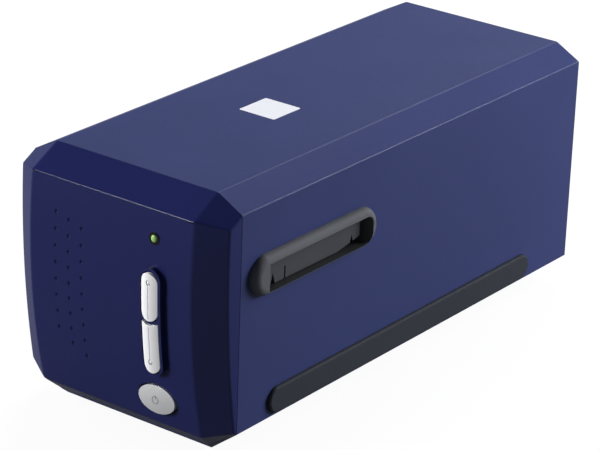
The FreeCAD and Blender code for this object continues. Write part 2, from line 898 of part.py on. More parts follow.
def base_tray():
    """Bottom pan with sloping sides, posts for the chassis and the main board, and screw wells."""
    tray = behind_seam(sleeve_shell(), -reach, parting_z - slip / 2)
    floor_top = bottom_z + wall
    tray = tray.fuse(box(-tray_rib_half, tray_rib_half, seam_y + slip, seam_y + slip + tray_rib,
                         floor_top - tiny, floor_top + tray_rib_height))
    for side in (-1, 1):
        edge = half_width - wall - slip
        tongue = box(edge - tray_rib, edge, seam_y + lip_reach + tongue_front_gap,
                     rear_y - panel_room - cover_boss_rear - cover_boss_half - slip,
                     parting_z - tray_rib_height / 2, parting_z + tray_rib)
        root = box(edge - tray_rib, half_width - wall / 2, tongue.BoundBox.YMin, tongue.BoundBox.YMax,
                   parting_z - tray_rib_height / 2, parting_z - slip)
        tongue = tongue.fuse(root).common(outer_form)
        tray = tray.fuse(tongue if side > 0 else mirrored(tongue))
    for places, half, high in ((chassis_posts(), chassis_post_half, chassis_floor_z),
                               (main_board_posts(), main_post_half, main_board_z)):
        for x, y in places:
            tray = tray.fuse(box(x - half, x + half, y - half, y + half, floor_top - tiny, high))
    for x, y in cover_boss_places():
        well = box(x - well_half, x + well_half, y - well_half, y + well_half, bottom_z + tiny,
                   parting_z - slip)
        tray = tray.fuse(well.common(outer_form))
    for x, y in cover_boss_places():
        tray = tray.cut(rod_z(x, y, screw_head_radius + slip, -reach, parting_z - well_floor))
        tray = tray.cut(rod_z(x, y, screw_clearance_radius, -reach, parting_z))
    return tray.removeSplitter()


def rubber_feet():
    """Four round pads under the tray, narrower at the floor."""
    return Part.makeCompound([Part.makeCone(foot_radius - foot_taper, foot_radius, foot_height, V(x, y, 0))
                              for x, y in foot_places()])


def rear_panel():
    """Flat rear plate, a little inside the sleeve, with air slots and the two socket windows."""
    y0 = rear_y - panel_inset - panel_thick
    y1 = rear_y - panel_inset
    panel = sleeve(wall + panel_gap, y0, y1)
    rim = sleeve(wall + panel_gap, y0 - rim_depth, y0 + tiny)
    panel = panel.fuse(rim.cut(sleeve(wall + panel_gap + lip_wall, -reach, reach)))
    for index in range(vent_count):
        x = (index - (vent_count - 1) / 2) * vent_pitch
        panel = panel.cut(box(x - vent_width / 2, x + vent_width / 2, y0 - overrun, y1 + overrun,
                              vent_z, vent_z + vent_height))
    for x, width, height in ((usb_x, usb_width, usb_height), (jack_x, jack_width, jack_height)):
        half = width / 2 + socket_gap
        panel = panel.cut(box(x - half, x + half, y0 - overrun, y1 + overrun, main_board_top - socket_gap,
                              main_board_top + height + socket_gap))
    return panel.removeSplitter()


# Film slot surround, dust flap, hinge pin and rubber bar, drawn for the +X side

def slot_surround():
    """Soft-edged surround; its sleeve reaches through the cover's window and holds the pin in snap slots."""
    flange = pill(surround_front_y, surround_rear_y, surround_bottom_z, surround_bottom_z + surround_height,
                  half_width, half_width + surround_proud, at_side)
    outer = half_width + surround_proud
    flange = softened(flange, 0, outer, surround_round)
    surround = flange.fuse(sleeve_opening(sleeve_wall, sleeve_end_x, half_width + tiny))
    surround = surround.cut(sleeve_opening(0, sleeve_end_x - overrun, outer + overrun))
    seat = pin_radius + running
    surround = surround.cut(box(sleeve_end_x - overrun, hinge_x + seat, -reach, reach, hinge_z - seat,
                                hinge_z + seat))
    return surround.removeSplitter()


def flap_leaf():
    """Hanging leaf with a knuckle on the pin, two pointed notches and a slit in its lower edge."""
    front = slot_front_y + flap_front_gap
    rear = slot_rear_y - flap_rear_gap
    low = slot_floor_z + flap_floor_gap
    inner_x = flap_outer_x - flap_thick
    leaf = box(inner_x, flap_outer_x, front, rear, low, hinge_z)
    corner = [edge for edge in edges_near(leaf, 1, rear, tiny) if abs(edge.BoundBox.ZMax - low) < tiny]
    leaf = leaf.makeFillet(flap_corner, corner)
    heel = [(inner_x - overrun, rear - flap_heel_length, low), (inner_x - overrun, rear + overrun, low),
            (inner_x - overrun, rear + overrun,
             low + flap_heel_rise * (flap_heel_length + overrun) / flap_heel_length)]
    leaf = leaf.cut(prism(heel, V(flap_thick + 2 * overrun, 0, 0)))
    leaf = leaf.fuse(rod_y(hinge_x, hinge_z, knuckle_radius, front, slot_rear_y - knuckle_rear_gap))
    leaf = leaf.cut(rod_y(hinge_x, hinge_z, pin_radius + running, -reach, reach))
    x0 = inner_x - overrun
    through = flap_thick + 2 * overrun
    for along in (front_notch_y, rear_notch_y):
        y = slot_front_y + along
        points = [(x0, y - notch_width / 2, low - tiny), (x0, y, low + notch_height),
                  (x0, y + notch_width / 2, low - tiny)]
        leaf = leaf.cut(prism(points, V(through, 0, 0)))
    y = slot_front_y + slit_y
    leaf = leaf.cut(box(x0, x0 + through, y - slit_width / 2, y + slit_width / 2, low - tiny,
                        low + slit_height))
    return leaf.removeSplitter()


def flap_pin():
    return rod_y(hinge_x, hinge_z, pin_radius, slot_front_y - sleeve_wall, slot_rear_y + sleeve_wall)


def side_strip():
    """Rubber bar with round ends, set in its bed on the cover."""
    bar = strip_outline(0, half_width - strip_bed, half_width + strip_proud)
    return bar.makeChamfer(strip_round, edges_near(bar, 0, half_width + strip_proud, tiny))


# Chassis, rods and film track

def chassis():
    """Folded steel tray with two upright end plates, gussets and upturned sides."""
    half = chassis_half_width
    plate_half = gusset_x + chassis_thick
    plate_top = rod_z_place + plate_above_rod
    body = box(-half, half, chassis_front_y, chassis_rear_y, chassis_floor_z, chassis_top)
    for y0 in (chassis_front_y, plate_front_y):
        body = body.fuse(box(-plate_half, plate_half, y0, y0 + chassis_thick, chassis_floor_z, plate_top))
    for side in (-1, 1):
        hem = box(half - chassis_thick, half, chassis_front_y, chassis_rear_y, chassis_floor_z,
                  chassis_top + chassis_hem)
        front = prism([(gusset_x, chassis_front_y, chassis_floor_z),
                       (gusset_x, chassis_front_y, chassis_floor_z + gusset_height),
                       (gusset_x, chassis_front_y + gusset, chassis_floor_z)], V(chassis_thick, 0, 0))
        rear = prism([(gusset_x, chassis_rear_y, chassis_floor_z),
                      (gusset_x, chassis_rear_y - gusset, chassis_floor_z),
                      (gusset_x, chassis_rear_y, chassis_floor_z + gusset_height)], V(chassis_thick, 0, 0))
        for piece in (hem, front, rear):
            body = body.fuse(piece if side > 0 else mirrored(piece))
        body = body.cut(rod_y(side * rod_place_x, rod_z_place, rod_radius + running / 2, -reach, reach))
    body = body.cut(rod_y(0, screw_z, screw_journal_radius + running, plate_front_y - tiny, reach))
    body = body.cut(rod_y(motor_x, screw_z, shaft_hole_radius, plate_front_y - tiny, reach))
    return body.removeSplitter()


def guide_rods():
    y0 = chassis_front_y - rod_overhang
    y1 = chassis_rear_y + rod_overhang
    return Part.makeCompound([rod_y(side * rod_place_x, rod_z_place, rod_radius, y0, y1) for side in (-1, 1)])


def leg_places():
    outer = chassis_half_width - chassis_thick - slip
    rear = track_rear_y - leg_length
    return [(sorted((side * outer, side * (outer - leg_width))), y)
            for side in (-1, 1) for y in (track_front_y, rear)]


def film_track():
    """Moulded channel that the film holder slides through, on four legs."""
    low = slot_floor_z - track_thick
    half = track_half_x
    track = box(-half, half, track_front_y, track_rear_y, low, slot_floor_z)
    for y0 in (track_front_y, slot_rear_y):
        track = track.fuse(box(-half, half, y0, y0 + track_rail, low, slot_top_z))
    lip = track_rail + track_lip_overhang
    for y0 in (track_front_y, track_rear_y - lip):
        track = track.fuse(box(-track_lip_half_x, track_lip_half_x, y0, y0 + lip, slot_top_z, rail_top_z))
    for (x0, x1), y in leg_places():
        track = track.fuse(box(x0, x1, y, y + leg_length, chassis_top, low))
    frame_x = gate_half_x + gate_frame_margin
    frame_y = gate_half_y + gate_frame_margin
    track = track.cut(box(-gate_half_x, gate_half_x, slot_mid_y - gate_half_y, slot_mid_y + gate_half_y,
                          low - overrun, slot_floor_z + overrun))
    track = track.cut(box(-frame_x, frame_x, slot_mid_y - frame_y, slot_mid_y + frame_y,
                          slot_floor_z - gate_frame_thick, slot_floor_z + overrun))
    detent_low = (slot_floor_z + slot_top_z - detent_height) / 2
    track = track.cut(box(-detent_half_x - slip, detent_half_x + slip, slot_rear_y - tiny,
                          slot_rear_y + detent_pocket, detent_low - slip, detent_low + detent_height + slip))
    return track.removeSplitter()


def gate_frame():
    """Blackened mask plate round the picture window."""
    frame_x = gate_half_x + gate_frame_margin - running
    frame_y = gate_half_y + gate_frame_margin - running
    z0 = slot_floor_z - gate_frame_thick
    plate = box(-frame_x, frame_x, slot_mid_y - frame_y, slot_mid_y + frame_y, z0, slot_floor_z - running)
    open_x = gate_half_x - slip
    open_y = gate_half_y - slip
    return plate.cut(box(-open_x, open_x, slot_mid_y - open_y, slot_mid_y + open_y,
                         z0 - overrun, slot_floor_z + overrun))


def detent_spring():
    """Leaf spring in the rear rail whose bump clicks into the holder's edge."""
    low = (slot_floor_z + slot_top_z - detent_height) / 2
    back = slot_rear_y + detent_pocket
    front = back - detent_thick
    tip = slot_rear_y - detent_bump
    points = [(-detent_half_x, back, low), (-detent_half_x, front, low), (-detent_bump_half, front, low),
              (0, tip, low), (detent_bump_half, front, low), (detent_half_x, front, low),
              (detent_half_x, back, low), (detent_bump_half, back, low), (0, tip + detent_thick, low),
              (-detent_bump_half, back, low)]
    return prism(points, V(0, 0, detent_height))


# Lamp over the film

def diffuser_half():
    return lamp_half_x - lamp_wall * 2, lamp_half_y - lamp_wall * 2


def lamp_housing():
    """Lamp box on wings that rest on the track's lips, open below for the diffuser."""
    top = lamp_top
    housing = box(-lamp_half_x, lamp_half_x, track_front_y, track_rear_y, rail_top_z, rail_top_z + wing_thick)
    housing = housing.fuse(box(-lamp_half_x, lamp_half_x, slot_mid_y - lamp_half_y, slot_mid_y + lamp_half_y,
                               rail_top_z, top))
    inner_x = lamp_half_x - lamp_wall
    inner_y = lamp_half_y - lamp_wall
    housing = housing.cut(box(-inner_x, inner_x, slot_mid_y - inner_y, slot_mid_y + inner_y,
                              rail_top_z + wing_thick, top - lamp_wall))
    half_x, half_y = diffuser_half()
    housing = housing.cut(box(-half_x, half_x, slot_mid_y - half_y, slot_mid_y + half_y,
                              rail_top_z - overrun, rail_top_z + wing_thick + tiny))
    for side in (-1, 1):
        y = slot_mid_y + side * (lamp_half_y + lamp_rib)
        y0, y1 = sorted((y, slot_mid_y + side * lamp_half_y))
        for x in (-lamp_half_x, lamp_half_x - lamp_wall):
            points = [(x, y0 if side > 0 else y1, rail_top_z + wing_thick),
                      (x, y1 if side > 0 else y0, rail_top_z + wing_thick),
                      (x, y0 if side > 0 else y1, rail_top_z + wing_thick + lamp_rib)]
            housing = housing.fuse(prism(points, V(lamp_wall, 0, 0)))
    return housing.removeSplitter()


def lamp_diffuser():
    """Opal plate: a block in the window under a wider flange."""
    half_x, half_y = diffuser_half()
    block = box(-half_x + running, half_x - running, slot_mid_y - half_y + running,
                slot_mid_y + half_y - running, rail_top_z + wing_thick - diffuser_thick,
                rail_top_z + wing_thick)
    flange = box(-half_x - lamp_wall / 2, half_x + lamp_wall / 2, slot_mid_y - half_y - lamp_wall / 2,
                 slot_mid_y + half_y + lamp_wall / 2, rail_top_z + wing_thick,
                 rail_top_z + wing_thick + diffuser_thick / 2)
    return block.fuse(flange).removeSplitter()


def lamp_board():
    top = lamp_top - lamp_wall
    half_x = lamp_half_x - lamp_wall - slip
    return box(-half_x, half_x, slot_mid_y - lamp_half_y / 2, slot_mid_y + lamp_half_y / 2,
               top - board_thick, top)


def lamp_leds():
    """Row of light-emitting chips under the lamp board."""
    base = lamp_top - lamp_wall - board_thick
    pitch = 2 * diffuser_half()[0] / lamp_led_count
    half = pitch * lamp_led_share / 2
    chips = []
    for index in range(lamp_led_count):
        x = (index - (lamp_led_count - 1) / 2) * pitch
        chips.append(box(x - half, x + half, slot_mid_y - half, slot_mid_y + half,
                         base - lamp_led_height, base))
    return Part.makeCompound(chips)


# Scan carriage and what rides on it

mirror_back = mirror_thick / math.sqrt(2)
bush_places = (carriage_front_y + front_bush_from_front, carriage_front_y + rear_bush_from_front)


def mirror_plate(front, back, half_x, half_length):
    """Block between two planes at 45 degrees under the light window."""
    s = math.sqrt(0.5)
    along = (half_length * s, -half_length * s)
    points = []
    for depth, way in ((front, -1), (front, 1), (back, 1), (back, -1)):
        points.append((-half_x, window_y - depth * s + way * along[0], lens_z - depth * s + way * along[1]))
    return prism(points, V(2 * half_x, 0, 0))


def carriage():
    """Scan head casting: hollow, with a light window, mirror seats, a lens wall, two rod ears and a fork."""
    half = carriage_half_x
    inner = half - carriage_wall
    y0 = carriage_front_y
    y1 = carriage_rear_y
    z0 = carriage_floor_z
    z1 = carriage_top_z
    body = box(-half, half, y0, y1, z0, z1)
    body = body.cut(box(-inner, inner, y0 + carriage_wall, y1 + overrun, z0 + carriage_wall,
                        z1 - carriage_wall))
    seat = prism([(-half, window_y - seat_half, z0 + tiny), (-half, window_y + seat_half, z0 + tiny),
                  (-half, window_y + seat_half, lens_z - seat_half), (-half, window_y - seat_half,
                                                                      lens_z + seat_half)],
                 V(2 * half, 0, 0))
    seat = seat.translated(V(0, -mirror_back * 2, 0))
    seat = seat.cut(box(-mirror_half_x + seat_width, mirror_half_x - seat_width, -reach, reach,
                        z0 + carriage_wall, reach))
    body = body.fuse(seat)
    wall_y = lens_y - bulkhead_thick / 2
    body = body.fuse(box(-inner - tiny, inner + tiny, wall_y, wall_y + bulkhead_thick, z0 + tiny, z1 - tiny))
    body = body.cut(rod_y(0, lens_z, lens_radius + running / 2, wall_y - tiny,
                          wall_y + bulkhead_thick + tiny))
    body = body.cut(box(-window_half_x, window_half_x, window_y - window_length / 2,
                        window_y + window_length / 2, z1 - carriage_wall - tiny, z1 + overrun))
    ear = bush_radius + ear_wall
    for y in bush_places:
        lug = box(half - tiny, rod_place_x, y - bush_length / 2, y + bush_length / 2, rod_z_place - ear,
                  rod_z_place + ear)
        body = body.fuse(lug.fuse(rod_y(rod_place_x, rod_z_place, ear, y - bush_length / 2,
                                        y + bush_length / 2)))
    fork_y = carriage_front_y + fork_from_front
    fork = box(-rod_place_x - rod_radius, -half + tiny, fork_y, fork_y + fork_length, rod_z_place - ear,
               rod_z_place + ear)
    body = body.fuse(fork)
    for y in bush_places:
        body = body.cut(rod_y(rod_place_x, rod_z_place, bush_radius + bush_fit,
                              y - bush_length / 2 - tiny, y + bush_length / 2 + tiny))
    grip = rod_radius + running
    body = body.cut(box(-reach, -rod_place_x + grip, fork_y - overrun, fork_y + fork_length + overrun,
                        rod_z_place - grip, rod_z_place + grip))
    return body.removeSplitter()


def scan_mirror():
    """Silvered glass plate at 45 degrees on the seats under the light window."""
    return mirror_plate(0, mirror_thick, mirror_half_x, carriage_height * mirror_length_share / 2)


def lens_barrel():
    """Round barrel in the carriage's lens wall, with a recess round its front glass."""
    front = lens_y - lens_length / 2
    barrel = rod_y(0, lens_z, lens_radius, front, front + lens_length)
    return barrel.cut(rod_y(0, lens_z, lens_bore, front - tiny, front + lens_recess))


def sensor_board():
    half = carriage_half_x - slip
    return box(-half, half, carriage_rear_y, carriage_rear_y + board_thick, carriage_floor_z + slip,
               carriage_top_z - slip)


def image_sensor():
    """Long line sensor package in front of its board."""
    half = sensor_height / 2
    return box(-mirror_half_x, mirror_half_x, carriage_rear_y - sensor_thick, carriage_rear_y,
               lens_z - half, lens_z + half)


def rod_bushes():
    bushes = []
    for y in bush_places:
        tube = rod_y(rod_place_x, rod_z_place, bush_radius, y - bush_length / 2, y + bush_length / 2)
        bushes.append(tube.cut(rod_y(rod_place_x, rod_z_place, rod_radius + running, -reach, reach)))
    return Part.makeCompound(bushes)


def lead_nut():
    """Plastic nut block under the carriage, round the screw."""
    top = carriage_floor_z
    block = box(-nut_half_x, nut_half_x, nut_y, nut_y + nut_length, top - nut_drop, top)
    block = block.makeChamfer(nut_chamfer, [edge for edge in edges_near(block, 2, top - nut_drop, tiny)
                                               if edge.BoundBox.YLength > tiny])
    return block.cut(rod_y(0, screw_z, screw_radius + running, -reach, reach))


# Screw drive

def gear_outline(teeth, turn):
    """Points of a spur gear's outline, with true involute flanks."""
    pitch_radius = gear_module * teeth / 2
    base_radius = pitch_radius * math.cos(math.radians(pressure_degrees))
    tip_radius = pitch_radius + gear_module * addendum_share
    root_radius = pitch_radius - gear_module * dedendum_share
    start = max(base_radius, root_radius + gear_module * tooth_foot_share)

    def involute(radius):
        angle = math.acos(min(1, base_radius / radius))
        return math.tan(angle) - angle

    half_tooth = math.pi / 2 / teeth - tooth_thinning / 2 / pitch_radius + involute(pitch_radius)
    points = []
    for tooth in range(teeth):
        middle = turn + 2 * math.pi * tooth / teeth
        flank = []
        for step in range(flank_steps + 1):
            radius = start + (tip_radius - start) * step / flank_steps
            flank.append((radius, half_tooth - involute(radius)))
        flank.insert(0, (root_radius, flank[0][1]))
        for radius, angle in flank:
            points.append((radius, middle - angle))
        for radius, angle in reversed(flank):
            points.append((radius, middle + angle))
    return points


def gear_wheel(x, teeth, turn, y0, y1):
    points = [(x + radius * math.cos(angle), y0, screw_z + radius * math.sin(angle))
              for radius, angle in gear_outline(teeth, turn)]
    return prism(points, V(0, y1 - y0, 0))


def lead_screw():
    """Drive rod with a thinner journal that runs in the rear plate."""
    shoulder = plate_front_y - slip
    rod = rod_y(0, screw_z, screw_radius, screw_front_y, shoulder)
    journal = rod_y(0, screw_z, screw_journal_radius, shoulder - tiny, chassis_rear_y)
    return rod.fuse(journal).removeSplitter()


def screw_gear():
    wheel = gear_wheel(0, screw_gear_teeth, 0, gear_y, gear_y + gear_face)
    return wheel.cut(rod_y(0, screw_z, screw_radius + bush_fit, -reach, reach)).removeSplitter()


def motor_pinion():
    """Small gear on the motor's shaft, turned half a tooth so that a gap meets the wheel's tooth."""
    turn = math.pi + math.pi / pinion_teeth
    wheel = gear_wheel(motor_x, pinion_teeth, turn, gear_y - pinion_overhang,
                       gear_y + gear_face + pinion_overhang)
    return wheel.cut(rod_y(motor_x, screw_z, motor_shaft_radius + bush_fit, -reach, reach)).removeSplitter()


def motor_shaft():
    return rod_y(motor_x, screw_z, motor_shaft_radius, gear_y - 2 * pinion_overhang, chassis_rear_y)


def stepper_motor():
    """Round motor can with two slanted ears."""
    y0 = chassis_rear_y
    can = rod_y(motor_x, screw_z, motor_radius, y0 + motor_flange_thick / 2, y0 + motor_length)
    span = motor_ear_reach + motor_ear_radius
    ears = pill(motor_x - span, motor_x + span, screw_z - motor_ear_radius, screw_z + motor_ear_radius,
                y0, y0 + motor_flange_thick, at_front)
    ears.rotate(V(motor_x, y0, screw_z), V(0, 1, 0), -motor_ear_degrees)
    return can.fuse(ears).removeSplitter()


def screw_bearing():
    """Pillar on the chassis that carries the front end of the drive rod."""
    y0 = screw_front_y
    block = box(-bearing_half_x, bearing_half_x, y0, y0 + bearing_length, chassis_top,
                screw_z + screw_radius + bearing_cap)
    foot = box(-bearing_foot_half_x, bearing_foot_half_x, y0, y0 + bearing_length, chassis_top,
               chassis_top + bearing_cap)
    block = block.fuse(foot)
    return block.cut(rod_y(0, screw_z, screw_radius + running, -reach, reach)).removeSplitter()


# Main board and sockets

def main_board():
    half = main_board_half
    return box(-half, half, main_board_front_y, main_board_rear_y, main_board_z, main_board_top)


def board_components():
    """Two chips, a connector and a capacitor on the main board, each at its own size."""
    top = main_board_top
    chip_y = main_board_front_y + connector_inset + connector_depth + chip_gap
    small_x = chip_size / 2 + chip_gap
    capacitor_y = chip_y + chip_size + capacitor_gap + capacitor_radius
    chip = box(-chip_size / 2, chip_size / 2, chip_y, chip_y + chip_size, top, top + chip_height)
    small = box(small_x, small_x + small_chip_size, chip_y, chip_y + small_chip_size, top, top + chip_height)
    connector = box(-connector_width / 2, connector_width / 2, main_board_front_y + connector_inset,
                    main_board_front_y + connector_inset + connector_depth, top, top + connector_height)
    capacitor = rod_z(0, capacitor_y, capacitor_radius, top, top + connector_height)
    return Part.makeCompound([chip, small, connector, capacitor])


def usb_port():
    """Square socket with a steel shell and a tongue, open to the rear."""
    y1 = rear_y - panel_inset + socket_proud
    y0 = y1 - usb_depth
    z0 = main_board_top
    shell = box(usb_x - usb_width / 2, usb_x + usb_width / 2, y0, y1, z0, z0 + usb_height)
    hollow = box(usb_x - usb_width / 2 + usb_wall, usb_x + usb_width / 2 - usb_wall, y0 + 2 * usb_wall,
                 y1 + overrun, z0 + usb_wall, z0 + usb_height - usb_wall)
    middle = z0 + usb_height / 2
    tongue = box(usb_x - usb_tongue_width / 2, usb_x + usb_tongue_width / 2, y0 + usb_wall,
                 y1 - 2 * usb_wall, middle - usb_tongue_height / 2, middle + usb_tongue_height / 2)
    return shell.cut(hollow).fuse(tongue).removeSplitter()


def dc_jack():
    """Round power socket with its centre pin, open to the rear."""
    y1 = rear_y - panel_inset + socket_proud
    y0 = y1 - jack_depth
    z0 = main_board_top
    middle = z0 + jack_height / 2
    block = box(jack_x - jack_width / 2, jack_x + jack_width / 2, y0, y1, z0, z0 + jack_height)
    block = block.cut(rod_y(jack_x, middle, jack_bore, y0 + 2 * usb_wall, y1 + overrun))
    return block.fuse(rod_y(jack_x, middle, jack_pin, y0 + usb_wall, y1 - 2 * usb_wall)).removeSplitter()


# Screws

def screw(length):
    """Screw standing on the origin, head up."""
    head = rod_z(0, 0, screw_head_radius, 0, screw_head_height)
    return head.fuse(rod_z(0, 0, screw_shank_radius, -length, tiny)).removeSplitter()


def housing_screws():
    """Two screws from below in the tray's wells, with a six-sided recess in each head."""
    turns = [2 * math.pi * side / recess_sides for side in range(recess_sides)]
    corners = [(screw_recess_radius * math.cos(turn), screw_recess_radius * math.sin(turn),
                screw_head_height - screw_recess_depth) for turn in turns]
    piece = screw(housing_screw_length).cut(prism(corners, V(0, 0, screw_head_height)))
    piece.rotate(V(0, 0, 0), V(1, 0, 0), 180)
    seat_z = parting_z - well_floor
    return Part.makeCompound([piece.translated(V(x, y, seat_z)) for x, y in cover_boss_places()])


parts = {
    "front_bezel": front_bezel, "top_cover": top_cover, "base_tray": base_tray, "rear_panel": rear_panel,
    "rubber_feet": rubber_feet, "upper_scan_button": upper_scan_button,
    "lower_scan_button": lower_scan_button, "power_button": power_button, "switch_board": switch_board,
    "tact_switches": tact_switches, "indicator_lens": indicator_lens, "chassis": chassis,
    "guide_rods": guide_rods, "film_track": film_track, "gate_frame": gate_frame,
    "detent_spring": detent_spring, "lamp_housing": lamp_housing, "lamp_diffuser": lamp_diffuser,
    "lamp_board": lamp_board, "lamp_leds": lamp_leds, "carriage": carriage, "scan_mirror": scan_mirror,
    "lens_barrel": lens_barrel, "sensor_board": sensor_board,
    "image_sensor": image_sensor, "rod_bushes": rod_bushes, "lead_nut": lead_nut,
    "lead_screw": lead_screw, "screw_gear": screw_gear,
    "screw_bearing": screw_bearing, "motor_pinion": motor_pinion, "motor_shaft": motor_shaft,
    "stepper_motor": stepper_motor, "main_board": main_board,
    "board_components": board_components,
    "usb_port": usb_port, "dc_jack": dc_jack, "housing_screws": housing_screws}

paired_parts = {
    "slot_surround": slot_surround, "dust_flap": flap_leaf, "flap_pin": flap_pin,
    "side_strip": side_strip}

for name, make in parts.items():
    save(make(), name)
for name, make in paired_parts.items():
    shape = make()
    save(shape, name + "_right")
    save(mirrored(shape), name + "_left")
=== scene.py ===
import bmesh
import bpy
import math
from mathutils import Matrix, Vector


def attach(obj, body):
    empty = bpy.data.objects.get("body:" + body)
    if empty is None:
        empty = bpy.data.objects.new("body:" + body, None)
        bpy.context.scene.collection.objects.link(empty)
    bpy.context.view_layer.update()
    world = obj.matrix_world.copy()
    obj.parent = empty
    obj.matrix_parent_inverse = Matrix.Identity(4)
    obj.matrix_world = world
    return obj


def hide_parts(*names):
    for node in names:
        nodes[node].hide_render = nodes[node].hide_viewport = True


# Film scanner: moulded blue housing with silver keys, dark slot surrounds and rubber bars.
# Lengths are in metres. The front is -Y, the side with the camera is +X, up is +Z.

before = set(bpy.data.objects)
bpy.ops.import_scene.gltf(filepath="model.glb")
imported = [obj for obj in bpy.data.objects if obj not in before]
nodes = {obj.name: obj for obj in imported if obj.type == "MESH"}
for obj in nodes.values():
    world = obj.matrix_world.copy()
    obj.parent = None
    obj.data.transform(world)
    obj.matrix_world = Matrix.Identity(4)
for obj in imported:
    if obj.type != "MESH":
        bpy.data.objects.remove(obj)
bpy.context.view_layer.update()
MM = 0.001

# Sizes of the housing, shared with the solids. A pair gives how far a slope reaches and how far it drops.
HALF_WIDTH = 56 * MM
TOP = 118.5 * MM
BOTTOM = 1.2 * MM
REAR = 136 * MM
SEAM = -115.932 * MM
WALL = 2.4 * MM
TOP_CHAMFER = (12.8 * MM, 6.9 * MM)
BOTTOM_CHAMFER = (15.8 * MM, 12.4 * MM)
PARTING = BOTTOM + BOTTOM_CHAMFER[1]
FACE_HALF = 43.5 * MM
BROW = (15.2 * MM, 8.5 * MM)
CHIN = (8.4 * MM, 10 * MM)
CHIN_SETBACK = 3.3 * MM
FACE_BULGE = 4.3 * MM
CHEEK_TOP = (7.7 * MM, 11.5 * MM)
CHEEK_LOW = (2 * MM, 15.1 * MM)
CHEEK_BULGE = 2.3 * MM
SEAM_GAP = 0.3 * MM
FACET_ROUND = 0.85 * MM
EDGE_ROUND = 0.45 * MM
RIM_ROUND = 0.3 * MM

# Keys, and the collar whose two openings follow them. A cusp is where the lower key's top is cut level.
COLUMN_X = 23.7 * MM
KEY_HALF = 4.3 * MM
KEY_TOP = 83.6 * MM
KEY_SPLIT = 62.1 * MM
KEY_LOW = 37.8 * MM
KEY_GAP = 0.5 * MM
KEY_WEB = 0.9 * MM
KEY_PROUD = 3.3 * MM
KEY_CROWN = 1.1 * MM
KEY_BACK = 3.9 * MM
KEY_ROUND = 0.5 * MM
KEY_CUSP = 1.15 * MM
OPENING_CUSP = 0.65 * MM
WEB_REACH = 9 * MM
COLLAR_RIM = 1 * MM
COLLAR_HEAD = 0.6 * MM
COLLAR_PROUD = 2.3 * MM
COLLAR_ROUND = 0.42 * MM
GROOVE_HALF = 0.18 * MM
GROOVE_START = 0.8 * MM
GROOVE_END = 2.5 * MM
PIPS = {"upper_key": 79.3 * MM, "lower_key": 42.9 * MM}
PIP_DEPTH = 0.55 * MM
PIP_RADIUS = 0.85 * MM
PIP_SHADE_RADIUS = 1.1 * MM
PIP_DISH = 1.15 * MM

# Power button, indicator and dimples. The ring's pair is its outer and inner radius.
POWER_X = 22.8 * MM
POWER_Z = 23.7 * MM
POWER_HALF = (9.7 * MM, 6.2 * MM)
POWER_PROUD = 2 * MM
POWER_BACK = 3.6 * MM
POWER_ROUND = 1.3 * MM
POWER_GAP = 0.3 * MM
CROWN_BALL = 12 * MM
CROWN_STRETCH = (2.12, 1, 1.36)
RECESS_MARGIN = 0.9 * MM
RECESS_DEPTH = 1 * MM
SIGN_RADIUS = 1.75 * MM
SIGN_PROUD = 0.01 * MM
STROKE_HALF = 0.17 * MM
LED_Z = 97.8 * MM
LED_HOLE = 1.95 * MM
DOME_RADIUS = 1.6 * MM
DOME_HEIGHT = 1 * MM
RING = (2.8 * MM, 1.65 * MM)
PIT_COLUMNS = ((8, 7.64), (9, 7.18), (9, 7.42))
PIT_FIRST = (-29.4, 95.1)
PIT_COLUMN_PITCH = 7.1
PIT_COLUMN_DROP = 2
PIT_CONE = (2.2 * MM, 2.7 * MM)
PIT_CONE_DEPTH = 1.5 * MM

# Label on top: its two x and two y. Slot surrounds and rubber bars: each pair is where it starts and ends.
LABEL = (-10.3 * MM, 9.1 * MM, -35.6 * MM, -16.4 * MM)
LABEL_GAP = 0.05 * MM
SURROUND_FACE = 60 * MM
SURROUND_Y = (SEAM + 5.5 * MM, SEAM + 90 * MM)
SURROUND_Z = (72.4 * MM, 90.6 * MM)
SURROUND_ROUND = 3.4 * MM
SLEEVE_X = 50 * MM
SLEEVE_Y = (SEAM + 12.6 * MM, SEAM + 87.4 * MM)
SLEEVE_Z = (72.7 * MM, 88.6 * MM)
SLOT_Y = (SEAM + 14.2 * MM, SEAM + 85.8 * MM)
SLOT_Z = (74.3 * MM, 87 * MM)
SLOT_ROUND = 4.2 * MM
LIP_ROUND = 0.35 * MM
STRIP_Y = (SEAM + 20 * MM, REAR - 35 * MM)
STRIP_Z = (14.8 * MM, 26.8 * MM)
STRIP_SUNK = 0.8 * MM
STRIP_PROUD = 1.8 * MM
STRIP_ROUND = 1.1 * MM

# Cutters start well ahead of the front. Places nearer than NEAR count as one.
AHEAD = -0.15
THROUGH_FACE = (AHEAD, SEAM - 2 * MM)
NEAR = 0.01 * MM
CLOSE_POINTS = 0.1 * MM
LONG_EDGE = 50 * MM


# Selection and modelling

def only(*pieces):
    """Leaves edit mode and selects these pieces alone, the first one active."""
    if bpy.context.object and bpy.context.object.mode != "OBJECT":
        bpy.ops.object.mode_set(mode="OBJECT")
    bpy.ops.object.select_all(action="DESELECT")
    for piece in pieces:
        piece.select_set(True)
    bpy.context.view_layer.objects.active = pieces[0]
    return pieces[0]


def pick(piece, kind, test):
    """Enters edit mode with only the faces, edges or vertices selected that pass the test."""
    only(piece)
    bpy.ops.object.mode_set(mode="EDIT")
    bpy.ops.mesh.select_mode(type=kind)
    bpy.ops.mesh.select_all(action="DESELECT")
    mesh = bmesh.from_edit_mesh(piece.data)
    items = {"FACE": mesh.faces, "EDGE": mesh.edges, "VERT": mesh.verts}[kind]
    for item in items:
        if test(item):
            item.select_set(True)
    mesh.select_flush_mode()
    bmesh.update_edit_mesh(piece.data)


def placed(piece, name):
    """Names a piece and puts its place and turn into its mesh."""
    only(piece)
    bpy.ops.object.transform_apply(location=True, rotation=True, scale=True)
    piece.name = name
    piece.data.name = name
    return piece


